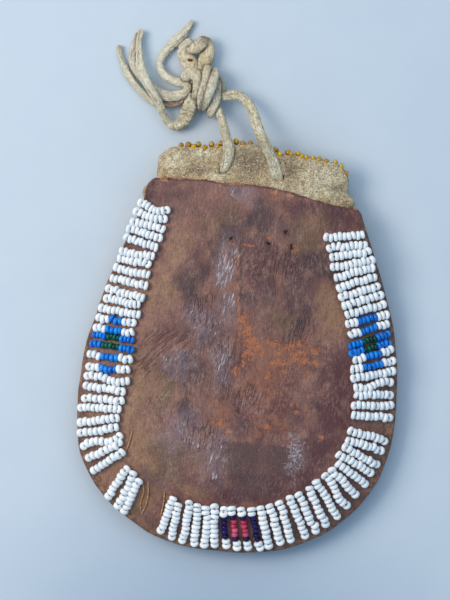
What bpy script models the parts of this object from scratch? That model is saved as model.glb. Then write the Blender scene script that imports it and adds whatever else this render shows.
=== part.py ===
"""Beaded strike-a-light pouch of leather, with a suede collar, rows of seed beads and a hide thong.

Metres. The pouch lies on its back with the beads up (+Z) and its mouth toward +Y. The origin is on
the surface it lies on, under the middle of the bag and its collar.
"""
import math

import bmesh
import bpy
import numpy as np

# Leather bag
body_width = 0.0896
body_height = 0.1034
leather_thickness = 0.0014
seam_margin = 0.0022
rim_height = 0.0026
back_shoulder = 0.0120
front_shoulder = 0.0200

# Suede collar, from the middle of the bag's mouth
suede_thickness = 0.0010
collar_width = 0.0520
collar_shift = -0.0016
collar_rise = 0.0114
collar_skirt = 0.0120
collar_flare = 0.0024
neck_height = 0.0050
side_slit = 0.0004

# Seed beads and their thread
lane_width = 0.0128
bead_width = 0.0022
bead_length = 0.00098
edge_bead_width = 0.0016
edge_bead_length = 0.0014
thread_width = 0.0004
thread_turn_reach = 0.0006

# Hide thong, and its knot and the holes that it runs through, placed from the middle of the mouth
thong_width = 0.0025
left_hole = (-0.0093, 0.0031)
right_hole = (0.0051, 0.0026)
knot_size = (0.0104, 0.0134, 0.0080)
knot_middle = (-0.0183, 0.0248)
knot_lean = math.radians(-14)

# Clearances
fit_gap = 0.0003
collar_gap = 0.0006
row_gap = 0.0001
hole_gap = 0.0004
seam_opening_reach = 0.0200

# The bag's outline from the mouth's left corner round the foot to its right corner, and the mouth
# from left to right: shares of half the width and of the height.
RIM_SHAPE = [
    (-0.663, 0.988), (-0.746, 0.884), (-0.868, 0.716), (-0.960, 0.556), (-0.998, 0.400), (-0.964, 0.255),
    (-0.806, 0.134), (-0.551, 0.052), (-0.223, 0.006), (0.147, 0.003), (0.446, 0.035), (0.737, 0.116),
    (0.920, 0.227), (0.998, 0.377), (0.987, 0.521), (0.906, 0.684), (0.781, 0.826), (0.643, 0.961),
]
MOUTH_SHAPE = [(-0.663, 0.988), (-0.40, 0.999), (0.0, 1.000), (0.31, 0.982), (0.49, 0.966), (0.643, 0.961)]

# The collar's top edge: shares of half its width and of its rise.
COLLAR_EDGE = [
    (-1.0, 0.56), (-0.93, 0.70), (-0.83, 0.77), (-0.60, 0.78), (-0.35, 0.87), (0.0, 1.0), (0.30, 0.80),
    (0.60, 0.78), (0.85, 0.72), (0.94, 0.64), (1.0, 0.44),
]

# Bead colours, and each colour's bead width as a share of the white bead's.
BEADS = {
    "W": ("white_bead", (0.75, 0.78, 0.80), 1.0),
    "B": ("blue_bead", (0.02, 0.17, 0.66), 0.86),
    "G": ("green_bead", (0.0, 0.10, 0.05), 0.74),
    "N": ("navy_bead", (0.01, 0.006, 0.08), 0.70),
    "R": ("rose_bead", (0.50, 0.03, 0.09), 0.76),
    "A": ("amber_bead", (0.45, 0.21, 0.02), 1.0),
}

# Runs of rows round the lane. The charts read from the rim inward. Each run has its first and last
# row's outer and inner ends as shares of the way round the rim, and how deep those ends lie as shares
# of the lane's width. Two neighbouring rows make one string, and an odd first row is one by itself.
LANE_RUNS = [
    ("left_top", "W8 W8 W8 W9 W9", (0.028, 0.068), (0.026, 0.065), (0.094, 0.094), (0.625, 0.719)),
    ("left_side", "W9 W8 W9 W9 W10 W10 W10 W3B3W3 W3B4W3 B4G4B4 B3G5B4 W3B4W3 W3B4W3",
     (0.083, 0.213), (0.076, 0.211), (0.102, 0.172), (0.734, 1.000)),
    ("left_low", "W10 W9 W8 W10 W9 W8", (0.2245, 0.286), (0.2235, 0.281), (0.164, 0.102), (1.000, 0.875)),
    ("left_turn", "W9 W8 W8", (0.302, 0.331), (0.297, 0.329), (0.109, 0.109), (0.875, 0.812)),
    ("left_foot", "W8 W8 W8", (0.364, 0.389), (0.348, 0.378), (0.094, 0.094), (0.781, 0.797)),
    ("foot",
     "W9 W9 W10 W10 W9 W9 W2N5W2 W2N1R4N1W2 W2N1R4N1W2 W2N6W2 W9 W9 W9 W10 W9 W9 W10 W9 W8 W8 W9 W9 W9 W9",
     (0.434, 0.745), (0.430, 0.749), (0.156, 0.180), (0.922, 0.969)),
    ("right_low", "W9 W9 W9 W9 W10", (0.771, 0.821), (0.769, 0.816), (0.133, 0.117), (0.930, 0.953)),
    ("right_side", "W3B5W3 W3B4W3 B4G4B4 B4G4B4 W3B4W3 W3B5W3 W9 W9 W9 W9 W10 W10 W9 W9 W9",
     (0.831, 0.972), (0.825, 0.982), (0.109, 0.117), (0.969, 0.898)),
]

# Strands of edging beads: count, and the first and last bead as shares of half the collar's width.
EDGE_STRANDS = [("edge_beads_left", 9, (-0.82, -0.40)), ("edge_beads_middle", 3, (-0.23, -0.08)),
                ("edge_beads_right", 11, (0.24, 0.93))]

# Thong routes, chosen by hand: x and y from the middle of the mouth, z from the surface below
DRAWSTRING = [
    (-0.0139, 0.0204, 0.0049), (-0.0124, 0.0188, 0.0060), (-0.0109, 0.0150, 0.0085),
    (-0.0099, 0.0107, 0.0109), (-0.0093, 0.0071, 0.0113), (-0.0094, 0.0050, 0.0105),
    (-0.0096, 0.0032, 0.0085), (-0.0095, 0.0017, 0.0065), (-0.0080, 0.0009, 0.0058),
    (-0.0020, 0.0006, 0.0059), (0.0034, 0.0005, 0.0061), (0.0048, 0.0012, 0.0068),
    (0.0051, 0.0026, 0.0085), (0.0049, 0.0044, 0.0105), (0.0038, 0.0066, 0.0113),
    (0.0014, 0.0100, 0.0110), (-0.0010, 0.0138, 0.0092), (-0.0025, 0.0183, 0.0066),
    (-0.0040, 0.0215, 0.0050), (-0.0063, 0.0240, 0.0043), (-0.0094, 0.0253, 0.0043),
    (-0.0129, 0.0252, 0.0043),
]
KNOT_LOOP = [
    (-0.0206, 0.0308, 0.0037), (-0.0224, 0.0330, 0.0033), (-0.0238, 0.0352, 0.0028),
    (-0.0239, 0.0375, 0.0026), (-0.0225, 0.0397, 0.0026), (-0.0202, 0.0406, 0.0025),
    (-0.0176, 0.0397, 0.0024), (-0.0161, 0.0372, 0.0026), (-0.0160, 0.0345, 0.0030),
    (-0.0166, 0.0316, 0.0036),
]
LOW_END = [
    (-0.0433, 0.0353, 0.0013), (-0.0416, 0.0300, 0.0013), (-0.0388, 0.0258, 0.0013),
    (-0.0352, 0.0225, 0.0013), (-0.0318, 0.0207, 0.0013), (-0.0285, 0.0203, 0.0014),
    (-0.0258, 0.0208, 0.0021), (-0.0233, 0.0216, 0.0029),
]
OVER_END = [
    (-0.0356, 0.0399, 0.0013), (-0.0354, 0.0350, 0.0016), (-0.0354, 0.0310, 0.0034),
    (-0.0352, 0.0275, 0.0045), (-0.0334, 0.0232, 0.0045), (-0.0312, 0.0200, 0.0042),
    (-0.0294, 0.0176, 0.0031), (-0.0275, 0.0156, 0.0018), (-0.0247, 0.0147, 0.0015),
    (-0.0221, 0.0157, 0.0020), (-0.0204, 0.0185, 0.0028),
]
TIE_THONG = [
    (-0.0225, 0.0439, 0.0013), (-0.0265, 0.0392, 0.0013), (-0.0295, 0.0354, 0.0013),
    (-0.0306, 0.0317, 0.0016), (-0.0298, 0.0290, 0.0024), (-0.0274, 0.0277, 0.0034),
    (-0.0251, 0.0265, 0.0040), (-0.0251, 0.0249, 0.0040), (-0.0280, 0.0240, 0.0033),
    (-0.0324, 0.0250, 0.0018), (-0.0360, 0.0276, 0.0014), (-0.0382, 0.0315, 0.0013),
    (-0.0388, 0.0352, 0.0013), (-0.0383, 0.0382, 0.0013),
]

# How finely the shapes are drawn
RIM_COLUMNS = 28
LINE_DETAIL = 16
RIM_SAMPLES = 400
MOUTH_SAMPLES = 60
WALK_SAMPLES = 40
SLOPE_STEP = 0.0005
WELD_DISTANCE = 0.00001
COLLAR_STATIONS = 11
DRAWSTRING_STEP = 0.0031
THONG_STEP = 0.0040

# How the shapes run: the bag's spine starts at this share of its height, and the lines from this
# share of the rim on end along it; a string's neck is this share of its bead's width; the collar's
# flare grows toward its right edge with this power.
SPINE_START = 0.40
SPINE_REACH = 0.26
NECK_SHARE = 0.66
FLARE_POWER = 6

# Worked out from the dimensions above
overall_length = body_height + collar_rise + fit_gap + edge_bead_width
foot_y = -overall_length / 2
mouth_y = foot_y + body_height
skirt_y = mouth_y - collar_skirt
collar_stack = 2 * suede_thickness + side_slit + 2 * collar_gap
crown_height = leather_thickness + 2 * collar_gap + 2 * suede_thickness + neck_height
wall_top = crown_height - collar_gap


def make_collection(name):
    collection = bpy.data.collections.new(name)
    bpy.context.scene.collection.children.link(collection)
    return collection


def make_material(name, color, roughness, metallic=0.0):
    material = bpy.data.materials.new(name)
    material.use_nodes = True
    shader = material.node_tree.nodes["Principled BSDF"]
    shader.inputs["Base Color"].default_value = (*color, 1.0)
    shader.inputs["Roughness"].default_value = roughness
    shader.inputs["Metallic"].default_value = metallic
    material.diffuse_color = (*color, 1.0)
    return material


def spaced(line, count):
    """The line's points read again at even steps of its length."""
    steps = np.linalg.norm(np.diff(line, axis=0), axis=1)
    along = np.concatenate([[0.0], np.cumsum(steps)])
    wanted = np.linspace(0.0, along[-1], count)
    return np.column_stack([np.interp(wanted, along, line[:, axis]) for axis in range(line.shape[1])])


def smooth_line(points, count):
    """Evenly spaced points of the smooth curve through the given ones."""
    knots = np.array(points, dtype=float)
    padded = np.vstack([2 * knots[0] - knots[1], knots, 2 * knots[-1] - knots[-2]])
    dense = []
    for first in range(len(knots) - 1):
        before, start, end, after = padded[first:first + 4]
        for share in np.linspace(0.0, 1.0, LINE_DETAIL, endpoint=False):
            bend = 2 * before - 5 * start + 4 * end - after
            twist = 3 * start - before - 3 * end + after
            dense.append(start + 0.5 * ((end - before) * share + bend * share ** 2 + twist * share ** 3))
    dense.append(knots[-1])
    return spaced(np.array(dense), count)


def bag_points(shape, count):
    """An outline given in shares, at the bag's size and place."""
    return smooth_line([(x * body_width / 2, foot_y + y * body_height) for x, y in shape], count)


def fitted_rim():
    """The rim, stretched so that its widest and lowest points meet the bag's width and foot."""
    rim = bag_points(RIM_SHAPE, RIM_SAMPLES)
    left, right = rim[:, 0].min(), rim[:, 0].max()
    low, high = rim[:, 1].min(), rim[0, 1]
    rim[:, 0] = (rim[:, 0] - (left + right) / 2) * body_width / (right - left)
    rim[:, 1] = high - (high - rim[:, 1]) * (high - foot_y) / (high - low)
    return spaced(rim, len(rim))


rim_line = fitted_rim()
mouth_line = bag_points(MOUTH_SHAPE, MOUTH_SAMPLES)
mouth_line[:, 0] = np.interp(mouth_line[:, 0], mouth_line[[0, -1], 0], rim_line[[0, -1], 0])


def mouth_height(x):
    return np.interp(x, mouth_line[:, 0], mouth_line[:, 1])


def rim_distance(points):
    """Distance of each point in plan from the sewn rim."""
    starts, ends = rim_line[:-1], rim_line[1:]
    runs = ends - starts
    offsets = points[:, None, :] - starts[None, :, :]
    shares = np.clip((offsets * runs).sum(2) / (runs * runs).sum(1), 0.0, 1.0)
    nearest = offsets - shares[:, :, None] * runs
    return np.sqrt((nearest ** 2).sum(2)).min(1)


def swell(distance, shoulder):
    """0 on the flat rim, rising to 1 where the shoulder ends."""
    share = np.clip((distance - seam_margin) / shoulder, 0.0, 1.0)
    return 1.0 - (1.0 - share) ** 2


def seam_opening(y):
    """Gap between the panels at the rim, wide enough near the mouth for the collar's skirt."""
    share = np.clip((y - (skirt_y - seam_opening_reach)) / (seam_opening_reach - 2 * collar_gap), 0.0, 1.0)
    return fit_gap + (collar_stack - fit_gap) * share * share * (3 - 2 * share)


def back_outside(points):
    return rim_height * (1.0 - swell(rim_distance(points), back_shoulder))


def front_inside(points):
    at_rim = rim_height + leather_thickness + seam_opening(points[:, 1])
    return at_rim + (crown_height - at_rim) * swell(rim_distance(points), front_shoulder)


def front_outside(points):
    """Height and slopes of the front's outer face."""
    height = front_inside(points)
    slope_x = (front_inside(points + [SLOPE_STEP, 0.0]) - height) / SLOPE_STEP
    slope_y = (front_inside(points + [0.0, SLOPE_STEP]) - height) / SLOPE_STEP
    slopes = np.column_stack([slope_x, slope_y])
    return height + leather_thickness * np.sqrt(1.0 + (slopes ** 2).sum(1)), slopes


def link_mesh(name, verts, faces, material, collection):
    mesh = bpy.data.meshes.new(name)
    mesh.from_pydata([tuple(vert) for vert in verts], [], faces)
    work = bmesh.new()
    work.from_mesh(mesh)
    bmesh.ops.remove_doubles(work, verts=work.verts, dist=WELD_DISTANCE)
    work.to_mesh(mesh)
    work.free()
    mesh.validate()
    mesh.materials.append(material)
    obj = bpy.data.objects.new(name, mesh)
    collection.objects.link(obj)
    return obj


def thicken(obj, thickness, offset):
    solidify = obj.modifiers.new("thickness", "SOLIDIFY")
    solidify.thickness = thickness
    solidify.offset = offset
    solidify.use_even_offset = True


def shade(obj):
    obj.data.shade_smooth()
    obj.data.set_sharp_from_angle(angle=math.radians(35))


def leather_panel(name, height_at, depths, material, collection):
    """A panel as lines from the rim to the bag's spine, with steps at the given depths."""
    start_y = foot_y + SPINE_START * body_height
    columns = spaced(rim_line, RIM_COLUMNS + 1)
    middle_mouth = float(mouth_height(0.0))
    points = []
    for number, edge in enumerate(columns):
        share = number / RIM_COLUMNS
        way = min(share, 1.0 - share) / SPINE_REACH
        spine = np.array([0.0, middle_mouth + (start_y - middle_mouth) * min(way, 1.0)])
        length = np.linalg.norm(spine - edge)
        for depth in [*depths, length]:
            point = edge + (spine - edge) * depth / length
            if number in (0, RIM_COLUMNS):
                point[1] = mouth_height(point[0])
            points.append(point)
    points = np.array(points)
    heights = height_at(points)
    rows = len(depths) + 1
    faces = []
    for number in range(RIM_COLUMNS):
        for step in range(rows - 1):
            first = number * rows + step
            faces.append((first, first + rows, first + rows + 1, first + 1))
    panel = link_mesh(name, np.column_stack([points, heights]), faces, material, collection)
    thicken(panel, leather_thickness, 1.0)
    shade(panel)
    return panel


def collar_edge_height(x):
    shares = np.array(COLLAR_EDGE)
    across = (x - collar_shift) / (collar_width / 2)
    return mouth_y + collar_rise * np.interp(across, shares[:, 0], shares[:, 1])


def collar_section(x):
    """Heights of the collar's underside and top at a place across the mouth."""
    at_mouth = np.column_stack([x, mouth_height(x)])
    under = back_outside(at_mouth) + leather_thickness + collar_gap
    return under, front_inside(at_mouth) - collar_gap


def suede_collar(material, collection):
    """A flat tube: the outer skin is lofted from the skirt to the beaded edge, then given its wall."""
    angles = np.linspace(-math.pi / 2, math.pi / 2, COLLAR_STATIONS)
    shares = np.sin(angles)
    across = collar_shift + shares * collar_width / 2
    flare = collar_flare * np.clip(shares, 0.0, 1.0) ** FLARE_POWER
    levels = [
        (across, np.full(len(across), skirt_y)),
        (across + flare, np.full(len(across), mouth_y - 3 * collar_gap)),
        (across + flare / 4, np.full(len(across), mouth_y + collar_rise / 4)),
        (across, collar_edge_height(across)),
    ]
    verts = []
    for level_x, level_y in levels:
        under, top = collar_section(level_x)
        verts.extend(np.column_stack([level_x, level_y, under]))
        verts.extend(np.column_stack([level_x, level_y, top])[::-1])
    size = 2 * len(across)
    faces = []
    for level in range(len(levels) - 1):
        for number in range(size):
            following = (number + 1) % size
            low, high = level * size, (level + 1) * size
            faces.append((low + number, high + number, high + following, low + following))
    collar = link_mesh("suede_collar", verts, faces, material, collection)
    thicken(collar, suede_thickness, -1.0)
    shade(collar)
    return collar


def punch_hole(panel, name, place, cutters):
    """A slot in the collar's front wall, longer up the collar than across, for the slanting thong."""
    depth = 4 * suede_thickness
    middle = (place[0], mouth_y + place[1], wall_top - suede_thickness / 2)
    bpy.ops.mesh.primitive_cylinder_add(vertices=12, radius=0.5, depth=depth, location=middle)
    cutter = bpy.context.object
    cutter.name = name
    cutter.scale = (thong_width + 2 * hole_gap, 2 * thong_width + 2 * hole_gap, 1.0)
    cutter.hide_render = True
    cutter.display_type = "WIRE"
    for holder in list(cutter.users_collection):
        holder.objects.unlink(cutter)
    cutters.objects.link(cutter)
    cut = panel.modifiers.new(name, "BOOLEAN")
    cut.operation = "DIFFERENCE"
    cut.solver = "EXACT"
    cut.object = cutter


def bead_profile(guides):
    """The section that every bead string sweeps: flat below and peaked on top, one bead wide."""
    curve = bpy.data.curves.new("bead_profile", "CURVE")
    curve.dimensions = "2D"
    spline = curve.splines.new("POLY")
    corners = [(-1.0, -1.0), (1.0, -1.0), (0.0, 1.0)]
    spline.points.add(len(corners) - 1)
    for point, corner in zip(spline.points, corners):
        point.co = (*corner, 0.0, 1.0)
    spline.use_cyclic_u = True
    profile = bpy.data.objects.new("bead_profile", curve)
    profile.hide_render = True
    profile.display_type = "WIRE"
    guides.objects.link(profile)
    return profile


def string_solid(name, stops, profile, palette, collection):
    """One string of beads. Each stop is a point, a half width and a bead letter."""
    curve = bpy.data.curves.new(name, "CURVE")
    curve.dimensions = "3D"
    curve.twist_mode = "Z_UP"
    curve.bevel_mode = "OBJECT"
    curve.bevel_object = profile
    curve.use_fill_caps = True
    spline = curve.splines.new("POLY")
    spline.points.add(len(stops) - 1)
    for point, (place, half_width, _) in zip(spline.points, stops):
        point.co = (*place, 1.0)
        point.radius = half_width
    path = bpy.data.objects.new(name + "_path", curve)
    collection.objects.link(path)
    bpy.context.view_layer.update()
    evaluated = path.evaluated_get(bpy.context.evaluated_depsgraph_get())
    mesh = bpy.data.meshes.new_from_object(evaluated)
    bpy.data.objects.remove(path)
    bpy.data.curves.remove(curve)
    work = bmesh.new()
    work.from_mesh(mesh)
    bmesh.ops.remove_doubles(work, verts=work.verts, dist=WELD_DISTANCE)
    bmesh.ops.recalc_face_normals(work, faces=work.faces)
    work.to_mesh(mesh)
    work.free()
    mesh.materials.clear()
    letters = sorted({letter for _, _, letter in stops if letter})
    for letter in letters:
        mesh.materials.append(palette[letter])
    places = np.array([place for place, _, letter in stops if letter])
    colors = [letters.index(letter) for _, _, letter in stops if letter]
    for polygon in mesh.polygons:
        gaps = np.linalg.norm(places - np.array(polygon.center), axis=1)
        polygon.material_index = colors[int(gaps.argmin())]
    mesh.name = name
    obj = bpy.data.objects.new(name, mesh)
    collection.objects.link(obj)
    return obj


def read_chart(chart):
    """W2N1W2 becomes WWNWW."""
    letters = ""
    number = ""
    for sign in chart + "#":
        if sign.isdigit():
            number += sign
            continue
        if number:
            letters += letter * int(number)
        letter = sign
        number = ""
    return letters


def trimmed(letters, count):
    """The chart with beads dropped from its ends until it has the given count."""
    spare = max(len(letters) - count, 0)
    return letters[spare // 2:len(letters) - (spare - spare // 2)]


def rim_point(share, depth):
    """The place at a share of the way round the rim, and a depth in from it."""
    place = share * (len(rim_line) - 1)
    first = int(min(place, len(rim_line) - 2))
    ahead = rim_line[min(first + 3, len(rim_line) - 1)] - rim_line[max(first - 2, 0)]
    inward = np.array([-ahead[1], ahead[0]]) / np.linalg.norm(ahead)
    on_rim = rim_line[first] + (rim_line[first + 1] - rim_line[first]) * (place - first)
    return on_rim + inward * depth


def row_ends(run, number, count):
    """Outer and inner end of a row in plan."""
    _, _, outer_way, inner_way, outer_depth, inner_depth = run
    share = number / max(count - 1, 1)
    ends = []
    for way, depth in ((outer_way, outer_depth), (inner_way, inner_depth)):
        deep = lane_width * (depth[0] + (depth[1] - depth[0]) * share)
        ends.append(rim_point(way[0] + (way[1] - way[0]) * share, deep))
    return ends


def row_stops(letters, outer, inner):
    """Stops of one row from its outer to its inner end: a waist at each bead and necks between."""
    count = len(letters)
    shares = np.arange(-0.5, count - 0.25, 0.5) / (count - 1)
    plan = outer + shares[:, None] * (inner - outer)
    height, slopes = front_outside(plan)
    way = (inner - outer) / np.linalg.norm(inner - outer)
    along = slopes @ way
    across = np.abs(slopes @ np.array([-way[1], way[0]]))
    stops = []
    for number, (x, y) in enumerate(plan):
        bead = min(number // 2, count - 1)
        letter = letters[bead]
        half = bead_width / 2 * BEADS[letter][2]
        lift = (fit_gap + half) * math.hypot(1.0, along[number]) + half * across[number]
        at_waist = number % 2 == 1
        stops.append(((x, y, height[number] + lift), half if at_waist else half * NECK_SHARE,
                      letter if at_waist else None))
    return stops


def thread_turn(first, second):
    """The thread between two rows' inner ends, close over the leather."""
    stops = []
    for here, before in ((first[-1], first[-2]), (second[0], second[1])):
        end = np.array(here[0])
        onward = end - np.array(before[0])
        onward[2] = 0.0
        spot = end + onward / np.linalg.norm(onward) * thread_turn_reach
        height, slopes = front_outside(spot[None, :2])
        spot[2] = height[0] + (fit_gap + thread_width / 2) * math.hypot(1.0, *slopes[0])
        stops.append((tuple(spot), thread_width / 2, None))
    return stops


def fitting_rows(run, charts):
    """How many of the rows find room side by side, with their beads clear and their pairs whole."""
    pitch = bead_width + row_gap
    room = []
    for end in (0, 1):
        walk = np.array([row_ends(run, number, WALK_SAMPLES)[end] for number in range(WALK_SAMPLES)])
        room.append(np.linalg.norm(np.diff(walk, axis=0), axis=1).sum())
    spare = max(len(charts) - int(min(room) / pitch) - 1, 0)
    return len(charts) - 2 * math.ceil(spare / 2)


def bead_rows(profile, palette, collection):
    """Every run of the lane. Two neighbouring rows share a thread and make one string."""
    for run in LANE_RUNS:
        charts = [read_chart(chart) for chart in run[1].split()]
        count = fitting_rows(run, charts)
        rows = []
        for number in range(count):
            outer, inner = row_ends(run, number, count)
            fits = int(np.linalg.norm(inner - outer) / bead_length) + 1
            rows.append(row_stops(trimmed(charts[number], fits), outer, inner))
        for number, first in enumerate(range(-(count % 2), count, 2)):
            stops = list(rows[max(first, 0)])
            if first >= 0:
                back = rows[first + 1][::-1]
                stops += thread_turn(stops, back) + back
            string_solid(f"bead_rows_{run[0]}_{number + 1:02d}", stops, profile, palette, collection)


def edge_strand(name, count, span, profile, palette, collection):
    """Beads strung over the collar's front edge, by turns on top of the suede and beyond it."""
    half = edge_bead_width / 2
    length = (span[1] - span[0]) * collar_width / 2
    count = max(2, min(count, int(length / edge_bead_length) + 1))
    stops = []
    for number in range(count):
        share = span[0] + (span[1] - span[0]) * number / (count - 1)
        x = collar_shift + share * collar_width / 2
        edge = float(collar_edge_height(x))
        _, top = collar_section(np.array([x]))
        beyond = (edge + fit_gap + half, float(top[0]) + half / 2)
        on_top = (edge - half / 4, float(top[0]) + fit_gap + half)
        y, z = on_top if number % 2 else beyond
        reach = edge_bead_length / 2
        stops.append(((x - reach, y, z), half * NECK_SHARE, None))
        stops.append(((x, y, z), half, "A"))
        stops.append(((x + reach, y, z), half * NECK_SHARE, None))
    string_solid(name, stops, profile, palette, collection)


def thong(name, route, spacing, material, collection):
    """A round hide thong along the smooth curve through its route."""
    knots = np.array(route) + [0.0, mouth_y, 0.0]
    length = np.linalg.norm(np.diff(knots, axis=0), axis=1).sum()
    line = smooth_line(knots, round(length / spacing) + 1)
    curve = bpy.data.curves.new(name, "CURVE")
    curve.dimensions = "3D"
    curve.bevel_depth = thong_width / 2
    curve.bevel_resolution = 2
    curve.use_fill_caps = True
    spline = curve.splines.new("POLY")
    spline.points.add(len(line) - 1)
    for point, place in zip(spline.points, line):
        point.co = (*place, 1.0)
    curve.materials.append(material)
    obj = bpy.data.objects.new(name, curve)
    collection.objects.link(obj)
    return obj


def knot_solid(material, collection):
    """The tied knot's outer shape, resting on the surface."""
    middle = (knot_middle[0], mouth_y + knot_middle[1], knot_size[2] / 2)
    bpy.ops.mesh.primitive_uv_sphere_add(segments=12, ring_count=7, radius=0.5, location=middle)
    knot = bpy.context.object
    knot.name = "thong_knot"
    knot.scale = knot_size
    knot.rotation_euler = (0.0, 0.0, knot_lean)
    knot.data.materials.append(material)
    knot.data.shade_smooth()
    for holder in list(knot.users_collection):
        holder.objects.unlink(knot)
    collection.objects.link(knot)


def build_pouch():
    for obj in list(bpy.data.objects):
        bpy.data.objects.remove(obj)
    pouch = make_collection("strike_a_light_pouch")
    guides = make_collection("cutters_and_guides")
    leather = make_material("brown_leather", (0.19, 0.075, 0.05), 0.55)
    suede = make_material("tan_suede", (0.50, 0.38, 0.22), 0.95)
    hide = make_material("cream_hide", (0.60, 0.53, 0.38), 0.9)
    palette = {letter: make_material(name, color, 0.25) for letter, (name, color, _) in BEADS.items()}

    back_depths = [0.0, seam_margin, seam_margin + 0.35 * back_shoulder, seam_margin + back_shoulder]
    front_depths = [0.0] + [seam_margin + share * front_shoulder for share in (0.0, 0.25, 0.58, 1.0)]
    leather_panel("back_panel", back_outside, back_depths, leather, pouch)
    leather_panel("front_panel", front_inside, front_depths, leather, pouch)

    collar = suede_collar(suede, pouch)
    punch_hole(collar, "left_hole_cutter", left_hole, guides)
    punch_hole(collar, "right_hole_cutter", right_hole, guides)

    profile = bead_profile(guides)
    bead_rows(profile, palette, pouch)
    for name, count, span in EDGE_STRANDS:
        edge_strand(name, count, span, profile, palette, pouch)

    thong("drawstring_thong", DRAWSTRING, DRAWSTRING_STEP, hide, pouch)
    thong("thong_loop", KNOT_LOOP, DRAWSTRING_STEP, hide, pouch)
    thong("thong_low_end", LOW_END, THONG_STEP, hide, pouch)
    thong("thong_over_end", OVER_END, THONG_STEP, hide, pouch)
    thong("tie_thong", TIE_THONG, DRAWSTRING_STEP, hide, pouch)
    knot_solid(hide, pouch)


build_pouch()
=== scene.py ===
# %% [markdown]
# # A beaded strike-a-light pouch
# The real pouch is a small bag of smooth brown leather that held a flint and a striking steel. It has a
# suede collar with a beaded edge, rows of seed beads sewn round the front's margin, and a hide thong tied
# in a knot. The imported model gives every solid's place. All but three of the pieces made here stand for one
# of its solids: the two seam welts and the fine threads are added.

# %% Load the frame
import math

import bpy
import numpy as np
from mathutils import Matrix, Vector, kdtree, noise


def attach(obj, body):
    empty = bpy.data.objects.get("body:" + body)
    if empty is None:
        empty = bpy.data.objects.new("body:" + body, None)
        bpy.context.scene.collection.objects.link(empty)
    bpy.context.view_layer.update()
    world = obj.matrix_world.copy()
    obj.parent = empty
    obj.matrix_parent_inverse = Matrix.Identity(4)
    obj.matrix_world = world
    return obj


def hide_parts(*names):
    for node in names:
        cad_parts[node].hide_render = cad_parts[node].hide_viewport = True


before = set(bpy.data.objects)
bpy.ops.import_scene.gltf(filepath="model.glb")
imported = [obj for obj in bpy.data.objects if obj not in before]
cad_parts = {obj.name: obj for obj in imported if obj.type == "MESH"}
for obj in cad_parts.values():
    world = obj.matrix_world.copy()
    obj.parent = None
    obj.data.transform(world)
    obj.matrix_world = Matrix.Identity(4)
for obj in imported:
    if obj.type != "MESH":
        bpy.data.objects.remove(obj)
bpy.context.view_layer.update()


# %% [markdown]
# ## Camera
# The photograph looks straight down, as through a long lens, and the pouch lies turned a little in it.
# A camera high over the pouch, rolled by that angle, gives the same picture without moving the pouch.

# %% Camera over the pouch
VIEW_ROLL = math.radians(5.5)
VIEW_CENTRE = (-0.0061, 0.0123)
VIEW_HEIGHT = 0.168
BEAD_PLANE = 0.009
CAMERA_DISTANCE = 0.90

camera_data = bpy.data.cameras.new("photo_camera")
camera_data.lens = camera_data.sensor_width * CAMERA_DISTANCE / VIEW_HEIGHT
camera = bpy.data.objects.new("photo_camera", camera_data)
camera.location = (*VIEW_CENTRE, BEAD_PLANE + CAMERA_DISTANCE)
camera.rotation_euler = (0.0, 0.0, VIEW_ROLL)
bpy.context.scene.collection.objects.link(camera)
bpy.context.scene.camera = camera
print("lens:", round(camera_data.lens, 1), "mm")

# %% [markdown]
# ## Small helpers
# Nearly every piece here follows a smooth line through a few listed points, so one function draws
# that line. Others give the direction to its left, join rings of corners with faces, and turn lists of
# corners and faces into a piece that rides with the pouch.

# %% Smooth lines
MM = 0.001
STEPS_PER_STRETCH = 24


def smooth_line(points, count):
    """Evenly spaced points on the smooth curve through the given ones, with any further columns."""
    knots = np.array(points, dtype=float)
    padded = np.vstack([2 * knots[0] - knots[1], knots, 2 * knots[-1] - knots[-2]])
    share = np.linspace(0.0, 1.0, STEPS_PER_STRETCH, endpoint=False)[:, None]
    dense = []
    for before, start, end, after in zip(padded, padded[1:], padded[2:], padded[3:]):
        bend = 2 * before - 5 * start + 4 * end - after
        twist = 3 * start - before - 3 * end + after
        dense.append(start + 0.5 * ((end - before) * share + bend * share ** 2 + twist * share ** 3))
    dense = np.vstack([*dense, knots[-1:]])
    along = distances_along(dense)
    wanted = np.linspace(0.0, along[-1], count)
    return np.column_stack([np.interp(wanted, along, column) for column in dense.T])


def distances_along(points):
    """How far along the line each of its points lies."""
    steps = np.linalg.norm(np.diff(points[:, :3], axis=0), axis=1)
    return np.concatenate([[0.0], np.cumsum(steps)])


def line_length(points):
    return float(np.linalg.norm(np.diff(np.asarray(points)[:, :3], axis=0), axis=1).sum())


def left_of(line):
    """Level directions to the left of a line on the table."""
    ahead = np.gradient(line, axis=0)
    return np.column_stack([-ahead[:, 1], ahead[:, 0]]) / np.linalg.norm(ahead, axis=1)[:, None]


def wander(points, scale, seed=0.0):
    """Smooth noise from -1 to 1 at points in metres, with waves about 1/scale metres long."""
    places = np.zeros((len(points), 3))
    places[:, :np.shape(points)[1]] = points
    places = places * scale
    places[:, 2] += seed
    return np.array([noise.noise(Vector(place)) for place in places])


# %% Pieces
def ring_faces(rings, sides):
    """Faces that join each ring of corners to the next."""
    faces = []
    for low in range(0, (rings - 1) * sides, sides):
        for spot in range(sides):
            after = (spot + 1) % sides
            faces.append((low + spot, low + after, low + sides + after, low + sides + spot))
    return faces


def end_faces(rings, sides):
    return [tuple(range(sides))[::-1], tuple(range((rings - 1) * sides, rings * sides))]


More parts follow.
